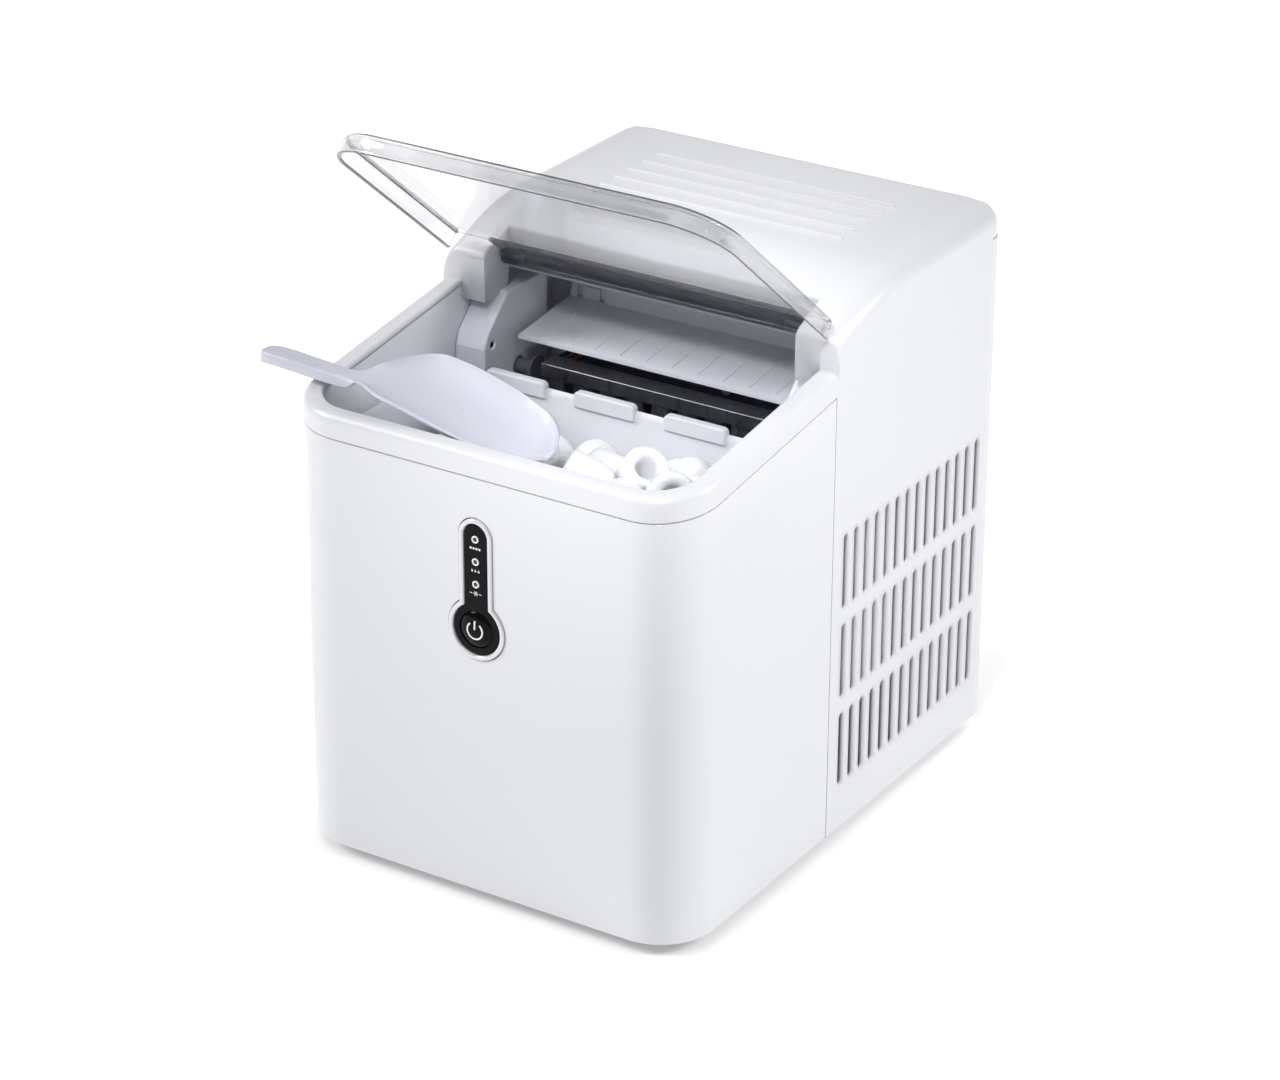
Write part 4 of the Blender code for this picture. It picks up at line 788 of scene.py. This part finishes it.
def ice():
    """Bullets of ice: a thimble with a round nose and a hollow from the other end, turned about its axis and
    laid at a spread of angles. Radius 11.5 mm, 27 mm long, with a wall that thins towards the mouth."""
    t = np.linspace(0, pi / 2, 8)
    nose = np.column_stack([11.5 * np.sin(t), 27 - 11.5 + 11.5 * np.cos(t)])
    mouth = [(11.3, 3.0), (10.9, 1.0), (9.9, 0.1), (8.2, 0.0), (6.6, 0.6), (5.6, 2.2)]
    hollow = [(5.0, 8.0), (4.2, 13.0), (2.8, 16.5), (0.0, 17.8)]
    profile = np.array(list(nose) + mouth + hollow)
    spin = np.linspace(0, 2 * pi, 20, endpoint=False)
    r, h = profile.T
    along = np.repeat(h[:, None] - 12, len(spin), 1)
    shape = np.stack([np.outer(r, np.cos(spin)), np.outer(r, np.sin(spin)), along], -1)
    faces = quads(len(r), len(spin), closed_cols=True)
    draw = np.random.default_rng(7)
    # x, behind, height, and where the mouth points: azimuth from straight ahead and elevation
    spots = [(28, 48, 203, -70, 25), (46, 66, 202, 60, 50), (50, 40, 200, -10, 5), (70, 54, 204, 38, 22),
             (64, 33, 196, 80, -30), (77, 38, 193, -30, 50), (77, 72, 199, 20, 10), (62, 84, 194, 10, -50),
             (38, 31, 197, 90, 20), (18, 32, 193, 60, 30), (24, 76, 193, -90, 10), (4, 50, 196, 60, 20),
             (-16, 36, 194, 40, 50), (-16, 70, 192, 120, 0), (76, 94, 188, 40, 50), (44, 97, 186, 60, 30)]
    spots += [(x + draw.uniform(-3, 3), y + draw.uniform(-3, 3), 180 + draw.uniform(-3, 3),
               draw.uniform(-180, 180), draw.uniform(-60, 60)) for x in range(-74, 80, 24) for y in (34, 55, 76, 96)]
    bullets = []
    for i, (x, y, z, azimuth, elevation) in enumerate(spots):
        a, e = radians(azimuth), radians(elevation)
        mouth_way = Vector((sin(a) * cos(e), -cos(a) * cos(e), sin(e)))
        turned = np.array(mouth_way.to_track_quat("-Z", "Y").to_matrix())
        points = shape @ turned.T + np.array([x, FRONT + y, z])
        bullets.append(surface(f"bullet_{i}", points, faces.tolist(), ICE))
    return joined("ice_bullets", *bullets)


# ---------------------------------------------------------------- pieces in place

place(front_shell(), "casing", "front_gloss", "front_shell")
place(housing(), "casing", "housing_satin", "upper_housing")
place(hood_ribs(), "casing", "housing_satin")
place(bezel(), "casing", "bezel", "control_bezel")
place(softened("control_fascia", BLACK_ACRYLIC, 0.15), "casing", "fascia", "control_fascia")
place(button(), "power_button", "fascia", "power_button")
place(power_symbol(), "power_button", "lens")
place(pictograms(), "casing", "lens")
for number, height_of in enumerate(INDICATOR_HEIGHTS, 1):
    indicator(number, height_of)
place(lid_tray(), "lid", "clear_lid", "lid")
place(lid_hinge_bar(), "lid", "clear_lid")
place(basket(), "basket", "frosted", "ice_basket")
place(basket_tabs(), "basket", "frosted")
place(scoop(), "scoop", "scoop_white", "scoop")
place(ice(), "basket", "frosted")
# The tub and chamber finishes are coloured lighter than the casing: painted light for the dim bin.
for node, material, width in (
    ("bin_liner", LINER_PP_PAINTED_LIGHT, 0.8), ("left_cheek", CHAMBER_PP_PAINTED_LIGHT, 1.6), ("right_cheek", CHAMBER_PP_PAINTED_LIGHT, 1.6),
    ("evaporator_guard", CHAMBER_PP_PAINTED_LIGHT, 0.4),
    ("evaporator", ALUMINIUM, 0.4), ("back_panel", GRAIN_ABS, 0.6), ("base_pan", BLACK_PP, 0.6),
    ("cord_gland", RUBBER, 0.4), ("foot_1", RUBBER, 0.5), ("foot_2", RUBBER, 0.5), ("foot_3", RUBBER, 0.5),
    ("foot_4", RUBBER, 0.5), ("back_screw_1", STEEL, 0.2), ("back_screw_2", STEEL, 0.2), ("back_screw_3", STEEL, 0.2),
    ("back_screw_4", STEEL, 0.2),
):
    slot = next(part["material_slot"] for part in frame["record"]["subparts"] if part["node"] == node)
    place(softened(node, material, width), "casing", slot, node)
# The pusher's lighter colour is painted light for the dim chamber.
place(softened("ice_pusher", CHAMBER_PP_PAINTED_LIGHT, 0.4), "pusher", "grey_liner", "ice_pusher")
place(softened("water_tray", TRAY_PP, 0.5), "water_tray", "grey_liner", "water_tray")
place(softened("drain_plug", RUBBER, 0.4), "drain_plug", "rubber", "drain_plug")

NODE_FINISHES = {
    "display_board": BOARD, "main_board": BOARD, "foam_left": FOAM, "foam_right": FOAM, "hinge_pin_left": STEEL,
    "hinge_pin_right": STEEL, "fan_motor": STEEL, "hot_gas_valve": STEEL, "compressor": ENAMEL,
    "discharge_pipe": COPPER, "suction_pipe": COPPER, "capillary": COPPER, "filter_drier": COPPER,
    "condenser": ALUMINIUM, "pump_hose": SILICONE, "compressor_mount_1": RUBBER, "compressor_mount_2": RUBBER,
    "compressor_mount_3": RUBBER,
}
for node, thing in frame["nodes"].items():
    thing.data.materials.clear()
    thing.data.materials.append(NODE_FINISHES.get(node, BLACK_PP))


# ---------------------------------------------------------------- stage, light and camera


def stage_floor():
    """Plain pale floor that the feet stand on."""
    mat = finish("pale_studio_floor", "#f4f4f4", 0.7, grain=30.0, vary=0.03, Emission_Color=(1, 1, 1, 1),
                 Emission_Strength=0.33)
    corners = [(x * FLOOR_REACH, y * FLOOR_REACH, FLOOR_LEVEL) for x, y in ((-1, -1), (1, -1), (1, 1), (-1, 1))]
    floor = surface("studio_floor", corners, [(0, 1, 2, 3)], mat, outward=False)


def light(name, kind, source):
    """Lamp turned so that it shines from the direction of the source."""
    lamp = bpy.data.objects.new(name, bpy.data.lights.new(name, kind))
    bpy.context.scene.collection.objects.link(lamp)
    lamp.rotation_euler = source.to_track_quat("Z", "Y").to_euler()
    return lamp


def sun(name, azimuth, elevation, spread, power):
    """Soft directional light. The azimuth turns from straight in front towards the right-hand side."""
    a, e = radians(azimuth), radians(elevation)
    data = light(name, "SUN", Vector((sin(a) * cos(e), -cos(a) * cos(e), sin(e)))).data
    data.energy, data.angle = power * pi, radians(spread)


def studio():
    """Dim even surroundings, two soft lights of about the same strength from the left and the right, a weak one
    from above, and a narrow soft one from the front right into the bin."""
    scene = bpy.context.scene
    world = bpy.data.worlds.new("studio_world")
    world.use_nodes = True
    world.node_tree.nodes["Background"].inputs["Color"].default_value = linear("#f6f7fb")
    world.node_tree.nodes["Background"].inputs["Strength"].default_value = 0.3
    scene.world = world
    for settings in SUNS:
        sun(*settings)
    spot = light("chamber_light", "SPOT", SPOT_PLACE - SPOT_TARGET)
    spot.location = SPOT_PLACE
    spot.data.energy, spot.data.spot_size, spot.data.spot_blend = SPOT_POWER, radians(SPOT_CONE), 1.0
    spot.data.shadow_soft_size = SPOT_RADIUS
    scene.view_settings.view_transform = "Standard"


def camera():
    """Long lens from the front right, above the machine."""
    azimuth, elevation, roll = radians(CAMERA_AZIMUTH), radians(CAMERA_ELEVATION), radians(CAMERA_ROLL)
    data = bpy.data.cameras.new("camera")
    data.sensor_width, data.lens = SENSOR_WIDTH, FOCAL_LENGTH
    data.clip_start, data.clip_end = 0.05, 50.0
    eye = bpy.data.objects.new("camera", data)
    bpy.context.scene.collection.objects.link(eye)
    eye.location = Vector(CAMERA_PLACE) * MM
    ahead = Vector((-sin(azimuth) * cos(elevation), cos(azimuth) * cos(elevation), -sin(elevation)))
    eye.rotation_mode = "QUATERNION"
    eye.rotation_quaternion = ahead.to_track_quat("-Z", "Y") @ Matrix.Rotation(-roll, 3, "Z").to_quaternion()
    bpy.context.scene.camera = eye


stage_floor()
studio()
camera()
